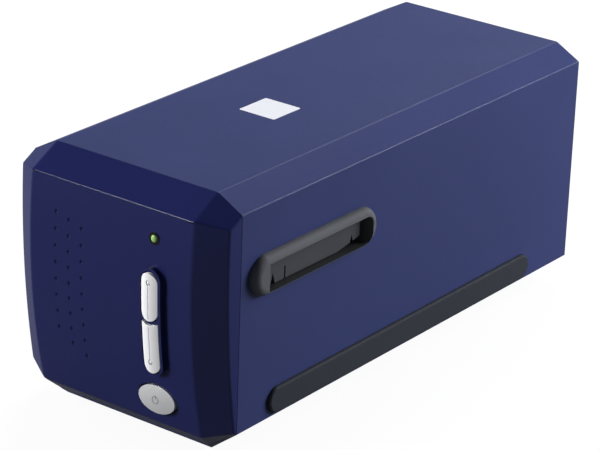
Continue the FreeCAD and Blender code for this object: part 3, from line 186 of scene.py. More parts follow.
def modify(piece, kind, **settings):
    """Adds one modifier and applies it."""
    only(piece)
    modifier = piece.modifiers.new(kind.lower(), kind)
    for name, value in settings.items():
        setattr(modifier, name, value)
    bpy.ops.object.modifier_apply(modifier=modifier.name)
    return piece


def combine(piece, other, operation):
    """Joins, cuts or intersects a piece with another one, which is used up."""
    modify(piece, "BOOLEAN", operation=operation, object=other, solver="EXACT")
    bpy.data.objects.remove(other)
    return piece


def rounded(piece, width, segments, degrees, clamp=True):
    """Rounds every edge that turns more than the angle."""
    return modify(piece, "BEVEL", width=width, segments=segments, limit_method="ANGLE",
                  angle_limit=math.radians(degrees), use_clamp_overlap=clamp, miter_outer="MITER_ARC")


def shaded(piece, degrees=32):
    """Smooth shading over small turns, with flat faces kept flat."""
    only(piece)
    bpy.ops.object.shade_smooth_by_angle(angle=math.radians(degrees))
    return modify(piece, "WEIGHTED_NORMAL", keep_sharp=True, weight=100)


def cleaned(piece):
    """Merges loose triangles into whole faces with their normals outwards."""
    pick(piece, "VERT", lambda vertex: True)
    bpy.ops.mesh.remove_doubles(threshold=0.002 * MM)
    bpy.ops.mesh.select_all(action="SELECT")
    bpy.ops.mesh.dissolve_limited(angle_limit=math.radians(0.6))
    bpy.ops.mesh.select_all(action="SELECT")
    bpy.ops.mesh.normals_make_consistent(inside=False)
    return only(piece)


def copy_of(node, name):
    """A merged copy of a solid's mesh, to give it soft edges."""
    piece = bpy.data.objects.new(name, nodes[node].data.copy())
    piece.data.name = name
    bpy.context.scene.collection.objects.link(piece)
    return cleaned(piece)


def bevel_edges(piece, test, width, segments):
    """Rounds the edges that pass the test."""
    pick(piece, "EDGE", test)
    bpy.ops.mesh.bevel(offset=width, segments=segments, affect="EDGES", clamp_overlap=True)
    return only(piece)


def outwards(piece):
    """Turns every face of a closed piece outwards."""
    pick(piece, "FACE", lambda face: True)
    bpy.ops.mesh.normals_make_consistent(inside=False)
    return only(piece)


def turn_of(edge):
    """Angle between an edge's two faces, or none where it hasn't two."""
    return edge.calc_face_angle(0) if edge.is_manifold else 0


def block(name, low, high):
    """Rectangular block between two corners, as a start or a cutter. Edit mode is left first."""
    only(*list(nodes.values())[:1])
    bpy.ops.object.select_all(action="DESELECT")
    middle = [(a + b) / 2 for a, b in zip(low, high)]
    bpy.ops.mesh.primitive_cube_add(size=1, location=middle, scale=[b - a for a, b in zip(low, high)])
    return placed(bpy.context.object, name)


def trimmed(piece, planes):
    """Cuts away what lies beyond each plane, given by a point and an outward normal."""
    for point, normal in planes:
        pick(piece, "VERT", lambda vertex: True)
        bpy.ops.mesh.select_all(action="SELECT")
        bpy.ops.mesh.bisect(plane_co=point, plane_no=normal, use_fill=True, clear_outer=True)
    return outwards(piece)


def bar(name, low, high, depth, facing, sides=48):
    """Bar with half-round ends: a disc pulled long, then extruded. Low and high are in the view's plane."""
    wide, tall = high[0] - low[0], high[1] - low[1]
    radius = min(wide, tall) / 2
    bpy.ops.object.select_all(action="DESELECT")
    bpy.ops.mesh.primitive_circle_add(vertices=sides, radius=radius, fill_type="NGON")
    piece = bpy.context.object
    stretch = (wide - 2 * radius, 0, 0) if wide > tall else (0, tall - 2 * radius, 0)
    axis = 0 if wide > tall else 1
    pick(piece, "VERT", lambda vertex: vertex.co[axis] < -radius * 0.001)
    half = [-value / 2 for value in stretch]
    bpy.ops.transform.translate(value=half)
    pick(piece, "VERT", lambda vertex: vertex.co[axis] > -radius * 0.002)
    bpy.ops.transform.translate(value=[-value for value in half])
    return extruded(piece, name, ((low[0] + high[0]) / 2, (low[1] + high[1]) / 2), depth, facing)


def extruded(piece, name, middle, depth, facing):
    """Extrudes a flat outline and turns it to face the front or the side."""
    pick(piece, "FACE", lambda face: True)
    bpy.ops.mesh.extrude_region_move(TRANSFORM_OT_translate={"value": (0, 0, depth[1] - depth[0])})
    only(piece)
    if facing == "front":
        turn = Matrix(((1, 0, 0), (0, 0, 1), (0, 1, 0)))
        place = (middle[0], depth[0], middle[1])
    else:
        turn = Matrix(((0, 0, 1), (1, 0, 0), (0, 1, 0)))
        place = (depth[0], middle[0], middle[1])
    piece.matrix_world = Matrix.Translation(place) @ turn.to_4x4()
    return outwards(placed(piece, name))


def oval(name, x, z, half_x, half_z, depth, sides=72):
    """Oval bar that faces the front."""
    bpy.ops.object.select_all(action="DESELECT")
    bpy.ops.mesh.primitive_circle_add(vertices=sides, radius=1, fill_type="NGON")
    piece = bpy.context.object
    pick(piece, "VERT", lambda vertex: True)
    bpy.ops.transform.resize(value=(half_x, half_z, 1))
    return extruded(piece, name, (x, z), depth, "front")


# The bowed front and its facets

def arc_through(top_depth, top_at, bottom_depth, bottom_at, bulge):
    """Centre and radius of the arc through two places, bulged outwards between them."""
    rise = top_at - bottom_at
    chord = math.hypot(rise, top_depth - bottom_depth)
    radius = (chord * chord / 4 + bulge * bulge) / (2 * bulge)
    out = (radius - bulge) / chord
    return ((top_depth + bottom_depth) / 2 - out * rise,
            (top_at + bottom_at) / 2 + out * (top_depth - bottom_depth), radius)


FACE_ARC = arc_through(BROW[0], TOP - BROW[1], CHIN[0], BOTTOM + CHIN[1], FACE_BULGE)
CHEEK_ARC = arc_through(CHEEK_TOP[0], TOP - CHEEK_TOP[1], CHEEK_LOW[0], BOTTOM + CHEEK_LOW[1], CHEEK_BULGE)


def depth_on(arc, z, grow=0):
    """How far an arc stands ahead of the seam at a height."""
    return arc[0] + math.sqrt((arc[2] + grow) ** 2 - (z - arc[1]) ** 2)


def bowed_solid(name, grow, rear):
    """Block whose front is the bowed face with its two ruled cheeks, grown outwards."""
    bpy.ops.object.select_all(action="DESELECT")
    bpy.ops.mesh.primitive_grid_add(x_subdivisions=3, y_subdivisions=44, size=2)
    piece = bpy.context.object
    low, high = BOTTOM - 6 * MM, TOP + 6 * MM
    turn = math.atan2(BROW[0] - CHEEK_TOP[0], HALF_WIDTH - FACE_HALF)
    setback = -grow * (1 - math.sin(turn)) / math.cos(turn)
    face_x = FACE_HALF + grow * math.tan(turn / 2)
    for vertex in piece.data.vertices:
        x, row = vertex.co.x, (vertex.co.y + 1) / 2
        z = low + row * (high - low)
        side = math.copysign(1, x)
        if abs(x) > 0.9:
            vertex.co = (side * (HALF_WIDTH + grow), SEAM - depth_on(CHEEK_ARC, z) + setback, z)
        else:
            vertex.co = (side * face_x, SEAM - depth_on(FACE_ARC, z, grow), z)
    return thickened(piece, name, rear)


def thickened(piece, name, rear):
    """Extrudes a bowed skin back to an upright plane."""
    pick(piece, "FACE", lambda face: True)
    bpy.ops.mesh.extrude_region_move(TRANSFORM_OT_translate={"value": (0, 0.1, 0)})
    only(piece)
    back = max(vertex.co.y for vertex in piece.data.vertices)
    half = (back + SEAM) / 2
    for vertex in piece.data.vertices:
        if vertex.co.y > half:
            vertex.co.y = rear
    return outwards(placed(piece, name))


def crowned_solid(name):
    """Block whose front follows the bow of the face and is crowned across the keys."""
    bpy.ops.object.select_all(action="DESELECT")
    bpy.ops.mesh.primitive_grid_add(x_subdivisions=20, y_subdivisions=36, size=2)
    piece = bpy.context.object
    low, high = KEY_LOW - 2 * MM, KEY_TOP + 2 * MM
    radius = (KEY_HALF ** 2 + KEY_CROWN ** 2) / (2 * KEY_CROWN)
    for vertex in piece.data.vertices:
        x = vertex.co.x * (KEY_HALF + 0.5 * MM)
        z = low + (vertex.co.y + 1) / 2 * (high - low)
        grow = KEY_PROUD - radius + math.sqrt(radius ** 2 - x ** 2)
        vertex.co = (COLUMN_X + x, SEAM - depth_on(FACE_ARC, z, grow), z)
    return thickened(piece, name, SEAM)


def sleeve_planes(inset):
    """The eight planes round the body, moved inwards."""
    planes = [((0, 0, TOP), (0, 0, 1)), ((0, 0, BOTTOM), (0, 0, -1))]
    for side in (-1, 1):
        planes.append(((side * HALF_WIDTH, 0, 0), (side, 0, 0)))
        planes.append(((side * HALF_WIDTH, 0, TOP - TOP_CHAMFER[1]),
                       (side * TOP_CHAMFER[1], 0, TOP_CHAMFER[0])))
        planes.append(((side * HALF_WIDTH, 0, PARTING),
                       (side * BOTTOM_CHAMFER[1], 0, -BOTTOM_CHAMFER[0])))
    return [(Vector(point) - Vector(normal).normalized() * inset, Vector(normal).normalized())
            for point, normal in planes]


def facet_planes(inset):
    """The six planes that facet the front: brow, chin and four corners."""
    seam_top = Vector((HALF_WIDTH - TOP_CHAMFER[0], SEAM, TOP))
    seam_side = Vector((HALF_WIDTH, SEAM, TOP - TOP_CHAMFER[1]))
    face_top = Vector((FACE_HALF, SEAM - BROW[0], TOP - BROW[1]))
    seam_low = Vector((HALF_WIDTH, SEAM, PARTING))
    face_low = Vector((FACE_HALF, SEAM - CHIN[0], BOTTOM + CHIN[1]))
    heel = Vector((HALF_WIDTH - BOTTOM_CHAMFER[0], SEAM + CHIN_SETBACK, BOTTOM))
    upper = (seam_side - seam_top).cross(face_top - seam_top).normalized() * -1
    lower = (face_low - seam_low).cross(heel - seam_low).normalized()
    planes = [(seam_top, Vector((0, -BROW[1], BROW[0])).normalized()),
              (face_low, Vector((0, -CHIN[1], -(CHIN[0] + CHIN_SETBACK))).normalized())]
    for point, normal in ((seam_top, upper), (seam_low, lower)):
        planes.append((point, normal))
        planes.append((Vector((-point.x, point.y, point.z)), Vector((-normal.x, normal.y, normal.z))))
    return [(point - normal * inset, normal) for point, normal in planes]


def front_form(name, inset, rear):
    """The faceted front, whose sides already lie where the sleeve's two upright planes are."""
    sleeve = [(point, normal) for point, normal in sleeve_planes(inset) if abs(normal.x) < 0.99]
    return trimmed(bowed_solid(name, -inset, rear), sleeve + facet_planes(inset))


def bowed_slice(piece, front_grow, back_grow):
    """Keeps the part of a bar between two bowed surfaces."""
    combine(piece, bowed_solid("former", front_grow, REAR), "INTERSECT")
    return combine(piece, bowed_solid("former", back_grow, REAR), "DIFFERENCE")


# Materials

def colour(text):
    """Linear colour of an sRGB hex value."""
    parts = [int(text[i:i + 2], 16) / 255 for i in (0, 2, 4)]
    return (*[p / 12.92 if p <= 0.04045 else ((p + 0.055) / 1.055) ** 2.4 for p in parts], 1)


def add_node(tree, kind, inputs=None, **settings):
    """Adds a node with its settings. An input takes a value or another node's output."""
    new = tree.nodes.new(kind)
    for name, value in settings.items():
        setattr(new, name, value)
    for name, value in (inputs or {}).items():
        if isinstance(value, bpy.types.NodeSocket):
            tree.links.new(value, new.inputs[name])
        else:
            new.inputs[name].default_value = value
    return new


def blank(name):
    """New material with an empty node tree."""
    material = bpy.data.materials.new(name)
    material.use_nodes = True
    material.node_tree.nodes.clear()
    return material, material.node_tree


def finish(name, light, dark, rough, grain, depth, cloud=40 * MM, metallic=0, ior=1.5,
           stretch=(1, 1, 1), **more):
    """A surface whose colour drifts slightly in clouds and whose grain shows as bump and in the gloss.
    Grain, bump depth and cloud are sizes."""
    material, tree = blank(name)
    place = add_node(tree, "ShaderNodeTexCoord").outputs["Object"]
    stretched = add_node(tree, "ShaderNodeMapping", {"Vector": place, "Scale": stretch}).outputs["Vector"]
    clouds = add_node(tree, "ShaderNodeTexNoise", {"Vector": place, "Scale": 1 / cloud, "Detail": 3})
    fine = add_node(tree, "ShaderNodeTexNoise", {"Vector": stretched, "Scale": 1 / grain, "Detail": 4,
                                                 "Roughness": 0.6})
    tint = add_node(tree, "ShaderNodeMix", {"Factor": clouds.outputs["Fac"]}, data_type="RGBA")
    tint.inputs[6].default_value = colour(dark)
    tint.inputs[7].default_value = colour(light)
    gloss = add_node(tree, "ShaderNodeMapRange", {"Value": fine.outputs["Fac"], "From Min": 0.3,
                                                  "From Max": 0.7, "To Min": rough * 0.85,
                                                  "To Max": min(rough * 1.15, 1)})
    bump = add_node(tree, "ShaderNodeBump", {"Height": fine.outputs["Fac"], "Strength": 1, "Distance": depth})
    inputs = {"Base Color": tint.outputs[2], "Roughness": gloss.outputs["Result"], "Metallic": metallic,
              "IOR": ior, "Normal": bump.outputs["Normal"], **more}
    shader = add_node(tree, "ShaderNodeBsdfPrincipled", inputs)
    add_node(tree, "ShaderNodeOutputMaterial", {"Surface": shader.outputs["BSDF"]})
    return material


# Moulded ABS, coloured in the mass: a dark violet blue with a satin, finely eroded grain. The real grain is
# about 0.1 mm and is drawn at 0.7 mm, so that it breaks up the highlights at this size.
# The front uses a darker copy of this blue: painted shade, since the front gets less of the lamps' light. It
# is also a little glossier.
blue_shell = finish("satin_blue_abs", "2f365f", "2a3158", 0.34, 0.7 * MM, 0.004 * MM,
                    **{"Specular IOR Level": 0.2})
blue_front_painted_shade = finish("satin_blue_abs_front_painted_shade", "1d2250", "1a1f4a", 0.24, 0.7 * MM, 0.003 * MM,
                    **{"Specular IOR Level": 0.3})
# Silver paint on the moulded keys and their pips: pale, with fine metal flake that softens the reflection.
silver_paint = finish("silver_painted_keys", "ececee", "e6e6e8", 0.36, 0.35 * MM, 0.002 * MM, metallic=0.05)
# Chromed plastic, slightly satin, on the power button: pale with sharp dark reflections at its rim.
chrome = finish("satin_chromed_plastic", "f8f8fa", "f2f2f4", 0.2, 0.6 * MM, 0.001 * MM, metallic=0.6)
# Glass-filled nylon of the slot surrounds: charcoal with a broad soft sheen.
charcoal = finish("charcoal_nylon", "525459", "494b4f", 0.62, 0.5 * MM, 0.01 * MM,
                  **{"Specular IOR Level": 0.25})
# Moulded flap: charcoal, duller than its surround.
flap_grey = finish("dull_charcoal_abs", "3f4146", "383a3e", 0.6, 0.6 * MM, 0.008 * MM,
                   **{"Specular IOR Level": 0.2})
# Nitrile rubber bars and feet: dark grey, dull, with a dusty bloom.
rubber = finish("dull_nitrile_rubber", "2e3137", "292c32", 0.65, 0.8 * MM, 0.02 * MM,
                **{"Specular IOR Level": 0.25})
# Black ABS of the inner mouldings. On the slots' floors the same black is painted shade, where the surround's
# top shades the floor.
black_abs_and_slot_shade = finish("black_abs_and_slot_shade", "242527", "1e1f21", 0.5, 0.6 * MM, 0.006 * MM)
# Zinc-plated sheet steel with the faint long grain of rolling.
zinc_steel = finish("zinc_plated_steel", "b9bcc0", "a2a6ab", 0.36, 0.5 * MM, 0.003 * MM, metallic=1,
                    stretch=(6, 0.4, 6))
# Ground and polished steel rods with fine rings from grinding.
ground_steel = finish("ground_steel", "c9ccd0", "bcbfc4", 0.2, 0.25 * MM, 0.001 * MM, metallic=1,
                      stretch=(0.2, 4, 0.2))
# Die-cast aluminium of the scan head: pale grey and slightly pitted.
cast_aluminium = finish("cast_aluminium", "a6a8ab", "95979b", 0.48, 0.7 * MM, 0.012 * MM, metallic=0.9)
# Acetal gears, nut and bushes: milky white and slippery.
acetal = finish("white_acetal", "e9e8e2", "dfded8", 0.34, 0.5 * MM, 0.002 * MM)
# Glass-epoxy circuit board under green solder resist, with its weave just showing.
solder_resist = finish("green_solder_resist", "1f6a3c", "195a32", 0.3, 0.5 * MM, 0.004 * MM, cloud=6 * MM)
# Epoxy chip packages and socket mouldings: black and dull.
black_epoxy = finish("black_epoxy", "2b2b2d", "232325", 0.55, 0.3 * MM, 0.004 * MM)
# Nickel-plated socket shells and motor can: warm pale metal.
nickel = finish("nickel_plate", "c8c5bd", "b9b6ae", 0.27, 0.6 * MM, 0.002 * MM, metallic=1)
# Spring steel, bright: a smooth mid grey with a clear reflection.
spring_steel = finish("spring_steel", "9a9da3", "868a91", 0.25, 0.4 * MM, 0.002 * MM, metallic=1)
# Opal acrylic of the lamp's window and its chips' lenses: white, half clear.
opal = finish("opal_acrylic", "f4f4f0", "ececea", 0.3, 1 * MM, 0.001 * MM, ior=1.49)
# Front-silvered float glass: nearly a mirror.
silvered_glass = finish("silvered_glass", "e6e9ea", "dfe2e4", 0.05, 2 * MM, 0.0002 * MM, metallic=1)
# Coated paper label: white and faintly glossy, with a slight mottle.
label_paper = finish("coated_label_paper", "cccdd4", "c6c7ce", 0.38, 0.5 * MM, 0.002 * MM, cloud=8 * MM)
# Gloss black ring round the indicator.
gloss_black = finish("gloss_black_abs", "0d0e12", "090a0d", 0.2, 0.5 * MM, 0.001 * MM)
# Ink of the power sign, grey and matt. The same grey on the discs under the pips is painted shade of their
# dishes.
grey_ink_and_pip_shade = finish("grey_ink_and_pip_shade", "77797d", "6b6d71", 0.5, 0.3 * MM, 0.001 * MM)
# Tinted lens of the indicator: green, mottled from pale to deep.
green_lens = finish("green_tinted_lens", "b9dc8c", "5a9440", 0.2, 0.9 * MM, 0.004 * MM,
                    cloud=1.6 * MM, ior=1.49)


def paint(piece, material):
    """Gives a piece one material only."""
    piece.data.materials.clear()
    piece.data.materials.append(material)
    return piece


def seat(piece, body, material, *replaced):
    """Gives a finished piece its finish and the body that it moves with."""
    paint(piece, material)
    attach(piece, body)
    if replaced:
        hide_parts(*replaced)
    return piece


# Housing

def front_moulding():
    """Faceted cap with its collar, recesses and pits."""
    cap = front_form("front_moulding", 0, SEAM + 8 * MM)
    rounded(cap, FACET_ROUND, 3, 7, clamp=False)
    combine(cap, front_form("hollow", WALL, REAR), "DIFFERENCE")
    combine(cap, block("behind", (-1, SEAM - SEAM_GAP, -1), (1, 1, 1)), "DIFFERENCE")
    collar = key_outline("collar", KEY_GAP + COLLAR_RIM, KEY_LOW, KEY_TOP + COLLAR_HEAD)
    bowed_slice(collar, COLLAR_PROUD, -WALL)
    for hole in key_openings():
        combine(collar, hole, "DIFFERENCE")
    modify(collar, "WELD", merge_threshold=CLOSE_POINTS)
    rounded(collar, COLLAR_ROUND, 4, 40)
    for hole in key_openings():
        combine(cap, hole, "DIFFERENCE")
    combine(cap, collar, "UNION")
    recess = power_outline("recess", RECESS_MARGIN)
    combine(recess, bowed_solid("former", -RECESS_DEPTH, REAR), "DIFFERENCE")
    combine(cap, recess, "DIFFERENCE")
    combine(cap, power_outline("hole", POWER_GAP), "DIFFERENCE")
    combine(cap, oval("hole", COLUMN_X, LED_Z, LED_HOLE, LED_HOLE, THROUGH_FACE, 32), "DIFFERENCE")
    combine(cap, pits(), "DIFFERENCE")
    return shaded(cap)


def power_outline(name, grow):
    """Cutter with the power button's outline, grown."""
    return oval(name, POWER_X, POWER_Z, POWER_HALF[0] + grow, POWER_HALF[1] + grow, THROUGH_FACE)


def key_outline(name, grow, low, high):
    """Pill with the keys' outline between two heights, grown."""
    return bar(name, (COLUMN_X - KEY_HALF - grow, low - grow), (COLUMN_X + KEY_HALF + grow, high + grow),
               THROUGH_FACE, "front")


def above(z):
    """Cutter for everything above a height."""
    return block("above", (-1, -1, z), (1, 1, 1))


def key_openings():
    """The collar's two openings: a whole pill, and one whose top follows the web round the first."""
    upper = key_outline("upper_opening", KEY_GAP, KEY_SPLIT, KEY_TOP)
    lower = key_outline("lower_opening", KEY_GAP, KEY_LOW, KEY_TOP)
    combine(lower, key_outline("web", KEY_GAP + KEY_WEB, KEY_SPLIT, KEY_TOP + WEB_REACH), "DIFFERENCE")
    combine(lower, above(KEY_SPLIT - OPENING_CUSP), "DIFFERENCE")
    return upper, lower


def pits():
    """Small diamond pits in three staggered columns, as one cutter."""
    made = []
    for column, (count, pitch) in enumerate(PIT_COLUMNS):
        x = (PIT_FIRST[0] + PIT_COLUMN_PITCH * column) * MM
        for row in range(count):
            z = (PIT_FIRST[1] - PIT_COLUMN_DROP * column - pitch * row) * MM
            front = SEAM - depth_on(FACE_ARC, z)
            bpy.ops.object.select_all(action="DESELECT")
            bpy.ops.mesh.primitive_cone_add(vertices=4, radius1=1, radius2=0, depth=PIT_CONE_DEPTH,
                                            location=(x, front, z), rotation=(-math.pi / 2, 0, 0),
                                            scale=(*PIT_CONE, 1))
            made.append(placed(bpy.context.object, "pit"))
    only(*made)
    bpy.ops.object.join()
    return made[0]


def shell_edge(edge):
    """A long outer edge of the cover or tray that runs from front to rear."""
    chamfers_start = HALF_WIDTH - 17 * MM
    a, b = edge.verts[0].co, edge.verts[1].co
    outer = max(abs(a.x), abs(b.x)) > chamfers_start and turn_of(edge) > 0.2
    on_skin = any(abs(face.normal.y) < 0.01 and on_outer_skin(face.calc_center_median())
                  for face in edge.link_faces)
    both = all(on_outer_skin(face.calc_center_median()) for face in edge.link_faces)
    return outer and on_skin and both and abs(a.y - b.y) > LONG_EDGE


def on_outer_skin(point):
    """Whether a place lies on one of the sleeve's outer planes."""
    return any(abs((point - place).dot(normal)) < 0.02 * MM for place, normal in sleeve_planes(0))


def rim_edge(edge):
    """An outer edge at the seam, the rear end or the parting."""
    a, b = edge.verts[0].co, edge.verts[1].co
    if turn_of(edge) < 0.5 or not any(on_outer_skin(face.calc_center_median()) for face in edge.link_faces):
        return False
    ends = any(all(abs(v.y - end) < NEAR for v in (a, b)) for end in (SEAM, REAR))
    parting = all(abs(v.z - PARTING) < 0.2 * MM for v in (a, b)) and abs(a.y - b.y) > LONG_EDGE
    return (ends or parting) and all(on_outer_skin(v) for v in (a, b))


def soft_copy(node, name):
    """A solid's copy with its outer edges softly rounded."""
    piece = copy_of(node, name)
    bevel_edges(piece, shell_edge, EDGE_ROUND, 3)
    return bevel_edges(piece, rim_edge, RIM_ROUND, 2)


def housing():
    """Front, cover with the label's bed, and tray."""
    # The front takes the darker copy of the blue, which is painted shade.
    seat(front_moulding(), "housing", blue_front_painted_shade, "front_bezel")
    cover = soft_copy("top_cover", "cover_moulding")
    bed = block("label_bed", (LABEL[0], LABEL[2], TOP - 0.08 * MM), (LABEL[1], LABEL[3], TOP + 1 * MM))
    combine(cover, bed, "DIFFERENCE")
    seat(shaded(cover, 25), "housing", blue_shell, "top_cover")
    tray = soft_copy("base_tray", "tray_moulding")
    seat(shaded(tray, 25), "housing", blue_shell, "base_tray")


def label():
    """Bare square label in a shallow bed on top."""
    plate = block("top_label", (LABEL[0] + LABEL_GAP, LABEL[2] + LABEL_GAP, TOP - 0.09 * MM),
                  (LABEL[1] - LABEL_GAP, LABEL[3] - LABEL_GAP, TOP - 0.005 * MM))
    bevel_edges(plate, lambda edge: abs(edge.verts[0].co.z - edge.verts[1].co.z) > NEAR, 0.8 * MM, 5)
    seat(shaded(plate), "housing", label_paper)


# Keys, button and indicator

def keys():
    """Two crowned keys. The lower one's top follows the web under the upper one."""
    upper = key_outline("upper_key", 0, KEY_SPLIT, KEY_TOP)
    lower = key_outline("lower_key", 0, KEY_LOW, KEY_TOP)
    apart = 2 * KEY_GAP + KEY_WEB
    combine(lower, key_outline("hollow", apart, KEY_SPLIT, KEY_TOP + WEB_REACH), "DIFFERENCE")
    combine(lower, above(KEY_SPLIT - KEY_CUSP), "DIFFERENCE")
    for key, low, high, node, body in (
            (upper, KEY_SPLIT + GROOVE_START, PIPS["upper_key"], "upper_scan_button", "upper_key"),
            (lower, PIPS["lower_key"], KEY_SPLIT - GROOVE_END, "lower_scan_button", "lower_key")):
        combine(key, crowned_solid("former"), "INTERSECT")
        combine(key, bowed_solid("former", -KEY_BACK, REAR), "DIFFERENCE")
        modify(key, "WELD", merge_threshold=CLOSE_POINTS)
        rounded(key, KEY_ROUND, 4, 40)
        cut = block("groove", (COLUMN_X - GROOVE_HALF, AHEAD, low), (COLUMN_X + GROOVE_HALF, SEAM, high))
        # The dish starts and ends 1 mm inside the groove, so that no two faces of the cutters share a plane.
        dish = oval("dish", COLUMN_X, PIPS[body], PIP_DISH, PIP_DISH, (-0.149, SEAM - 1 * MM), 40)
        combine(cut, dish, "UNION")
        combine(cut, bowed_solid("former", KEY_PROUD - PIP_DEPTH, REAR), "DIFFERENCE")
        combine(key, cut, "DIFFERENCE")
        seat(shaded(key), body, silver_paint, node)


def half_ball(name, x, y, z, radius, height, body, material, *replaced):
    """Low dome that faces the front."""
    bpy.ops.object.select_all(action="DESELECT")
    bpy.ops.mesh.primitive_uv_sphere_add(segments=32, ring_count=16, radius=radius)
    piece = bpy.context.object
    pick(piece, "VERT", lambda vertex: True)
    bpy.ops.mesh.bisect(plane_co=(0, 0, 0), plane_no=(0, 0, -1), use_fill=True, clear_outer=True)
    bpy.ops.mesh.select_all(action="SELECT")
    bpy.ops.transform.resize(value=(1, 1, height / radius), center_override=(0, 0, 0))
    only(piece)
    piece.matrix_world = Matrix.Translation((x, y, z)) @ Matrix.Rotation(math.pi / 2, 4, "X")
    return seat(shaded(placed(piece, name), 40), body, material, *replaced)


def pips():
    """A bead on a dark disc of painted shade in the small round dish near the far end of each key."""
    for body, z in PIPS.items():
        floor = SEAM - depth_on(FACE_ARC, z, KEY_PROUD - PIP_DEPTH)
        depth = (floor - 0.02 * MM, floor + 0.4 * MM)
        # The dark disc under each pip is painted shade of the dish.
        bed = oval(body + "_pip_shade_disc", COLUMN_X, z, PIP_SHADE_RADIUS, PIP_SHADE_RADIUS, depth, 40)
        seat(shaded(bed), body, grey_ink_and_pip_shade)
        half_ball(body + "_pip", COLUMN_X, floor, z, PIP_RADIUS, PIP_DEPTH, body, silver_paint)


def power_key():
    """Oval button, crowned and softly rounded, with its sign."""
    base = SEAM - depth_on(FACE_ARC, POWER_Z)
    front = base - POWER_PROUD
    key = oval("power_key", POWER_X, POWER_Z, *POWER_HALF, (front, base + POWER_BACK), 96)
    bpy.ops.object.select_all(action="DESELECT")
    bpy.ops.mesh.primitive_uv_sphere_add(segments=96, ring_count=64, radius=CROWN_BALL, scale=CROWN_STRETCH,
                                         location=(POWER_X, front + CROWN_BALL, POWER_Z))
    combine(key, placed(bpy.context.object, "crown"), "INTERSECT")
    rounded(key, POWER_ROUND, 8, 40)
    seat(shaded(key, 40), "power_key", chrome, "power_button")
    seat(power_sign(front), "power_key", grey_ink_and_pip_shade)


def power_sign(front):
    """Broken ring with a bar at its gap, raised by a hair."""
    bpy.ops.object.select_all(action="DESELECT")
    bpy.ops.mesh.primitive_circle_add(vertices=64, radius=SIGN_RADIUS, fill_type="NGON")
    ring = bpy.context.object
    pick(ring, "FACE", lambda face: True)
    bpy.ops.mesh.inset(thickness=0.32 * MM, depth=0)
    bpy.ops.mesh.delete(type="FACE")
    pick(ring, "FACE", lambda face: face.calc_center_median().y > 1.2 * MM
         and abs(face.calc_center_median().x) < 0.6 * MM)
    bpy.ops.mesh.delete(type="FACE")
    only(ring)
    place = Matrix.Translation((POWER_X, front - SIGN_PROUD, POWER_Z))
    ring.matrix_world = place @ Matrix.Rotation(math.pi / 2, 4, "X")
    placed(ring, "power_sign")
    modify(ring, "SOLIDIFY", thickness=0.15 * MM, offset=-1)
    stroke = block("stroke", (POWER_X - STROKE_HALF, front - SIGN_PROUD, POWER_Z + 0.3 * MM),
                   (POWER_X + STROKE_HALF, front + 0.15 * MM, POWER_Z + 2.1 * MM))
    only(ring, stroke)
    bpy.ops.object.join()
    return ring


def indicator():
    """Green dome in a black ring."""
    front = SEAM - depth_on(FACE_ARC, LED_Z)
    half_ball("indicator_dome", COLUMN_X, front, LED_Z, DOME_RADIUS, DOME_HEIGHT, "housing", green_lens,
              "indicator_lens")
    outer, inner = RING
    depth = (front - 0.3 * MM, front + 1.6 * MM)
    ring = oval("indicator_ring", COLUMN_X, LED_Z, outer, outer, depth, 48)
    combine(ring, oval("hole", COLUMN_X, LED_Z, inner, inner, (AHEAD, SEAM), 48), "DIFFERENCE")
    rounded(ring, 0.2 * MM, 3, 40)
    seat(shaded(ring), "housing", gloss_black)


# Slot surrounds, rubber bars

def mirror_piece(piece, name):
    """The same piece on the other side, with its normals outwards again."""
    twin = bpy.data.objects.new(name, piece.data.copy())
    bpy.context.scene.collection.objects.link(twin)
    twin.matrix_world = Matrix.Scale(-1, 4, (1, 0, 0))
    return outwards(placed(twin, name))


def surround():
    """Convex collar of the film slot with its straight sleeve into the housing."""
    ring = bar("surround_right", (SURROUND_Y[0], SURROUND_Z[0]), (SURROUND_Y[1], SURROUND_Z[1]),
               (HALF_WIDTH - 0.02 * MM, SURROUND_FACE), "side", 64)
    bevel_edges(ring, lambda edge: min(v.co.x for v in edge.verts) > SURROUND_FACE - NEAR, SURROUND_ROUND, 8)
    sleeve = block("sleeve", (SLEEVE_X, SLEEVE_Y[0], SLEEVE_Z[0]), (HALF_WIDTH, SLEEVE_Y[1], SLEEVE_Z[1]))
    combine(ring, sleeve, "UNION")
    hole = block("hole", (SLEEVE_X - 10 * MM, SLOT_Y[0], SLOT_Z[0]),
                 (SURROUND_FACE + 10 * MM, SLOT_Y[1], SLOT_Z[1]))
    rear = SLOT_Y[1] - CLOSE_POINTS
    bevel_edges(hole, lambda edge: min(v.co.y for v in edge.verts) > rear
                and abs(edge.verts[0].co.x - edge.verts[1].co.x) > 1 * MM, SLOT_ROUND, 8)
    combine(ring, hole, "DIFFERENCE")
    lip = HALF_WIDTH + 0.5 * MM
    bevel_edges(ring, lambda edge: all(abs(v.co.z - SLOT_Z[0]) < NEAR and v.co.x > lip for v in edge.verts)
                and abs(edge.verts[0].co.y - edge.verts[1].co.y) > 20 * MM, LIP_ROUND, 2)
    return ring


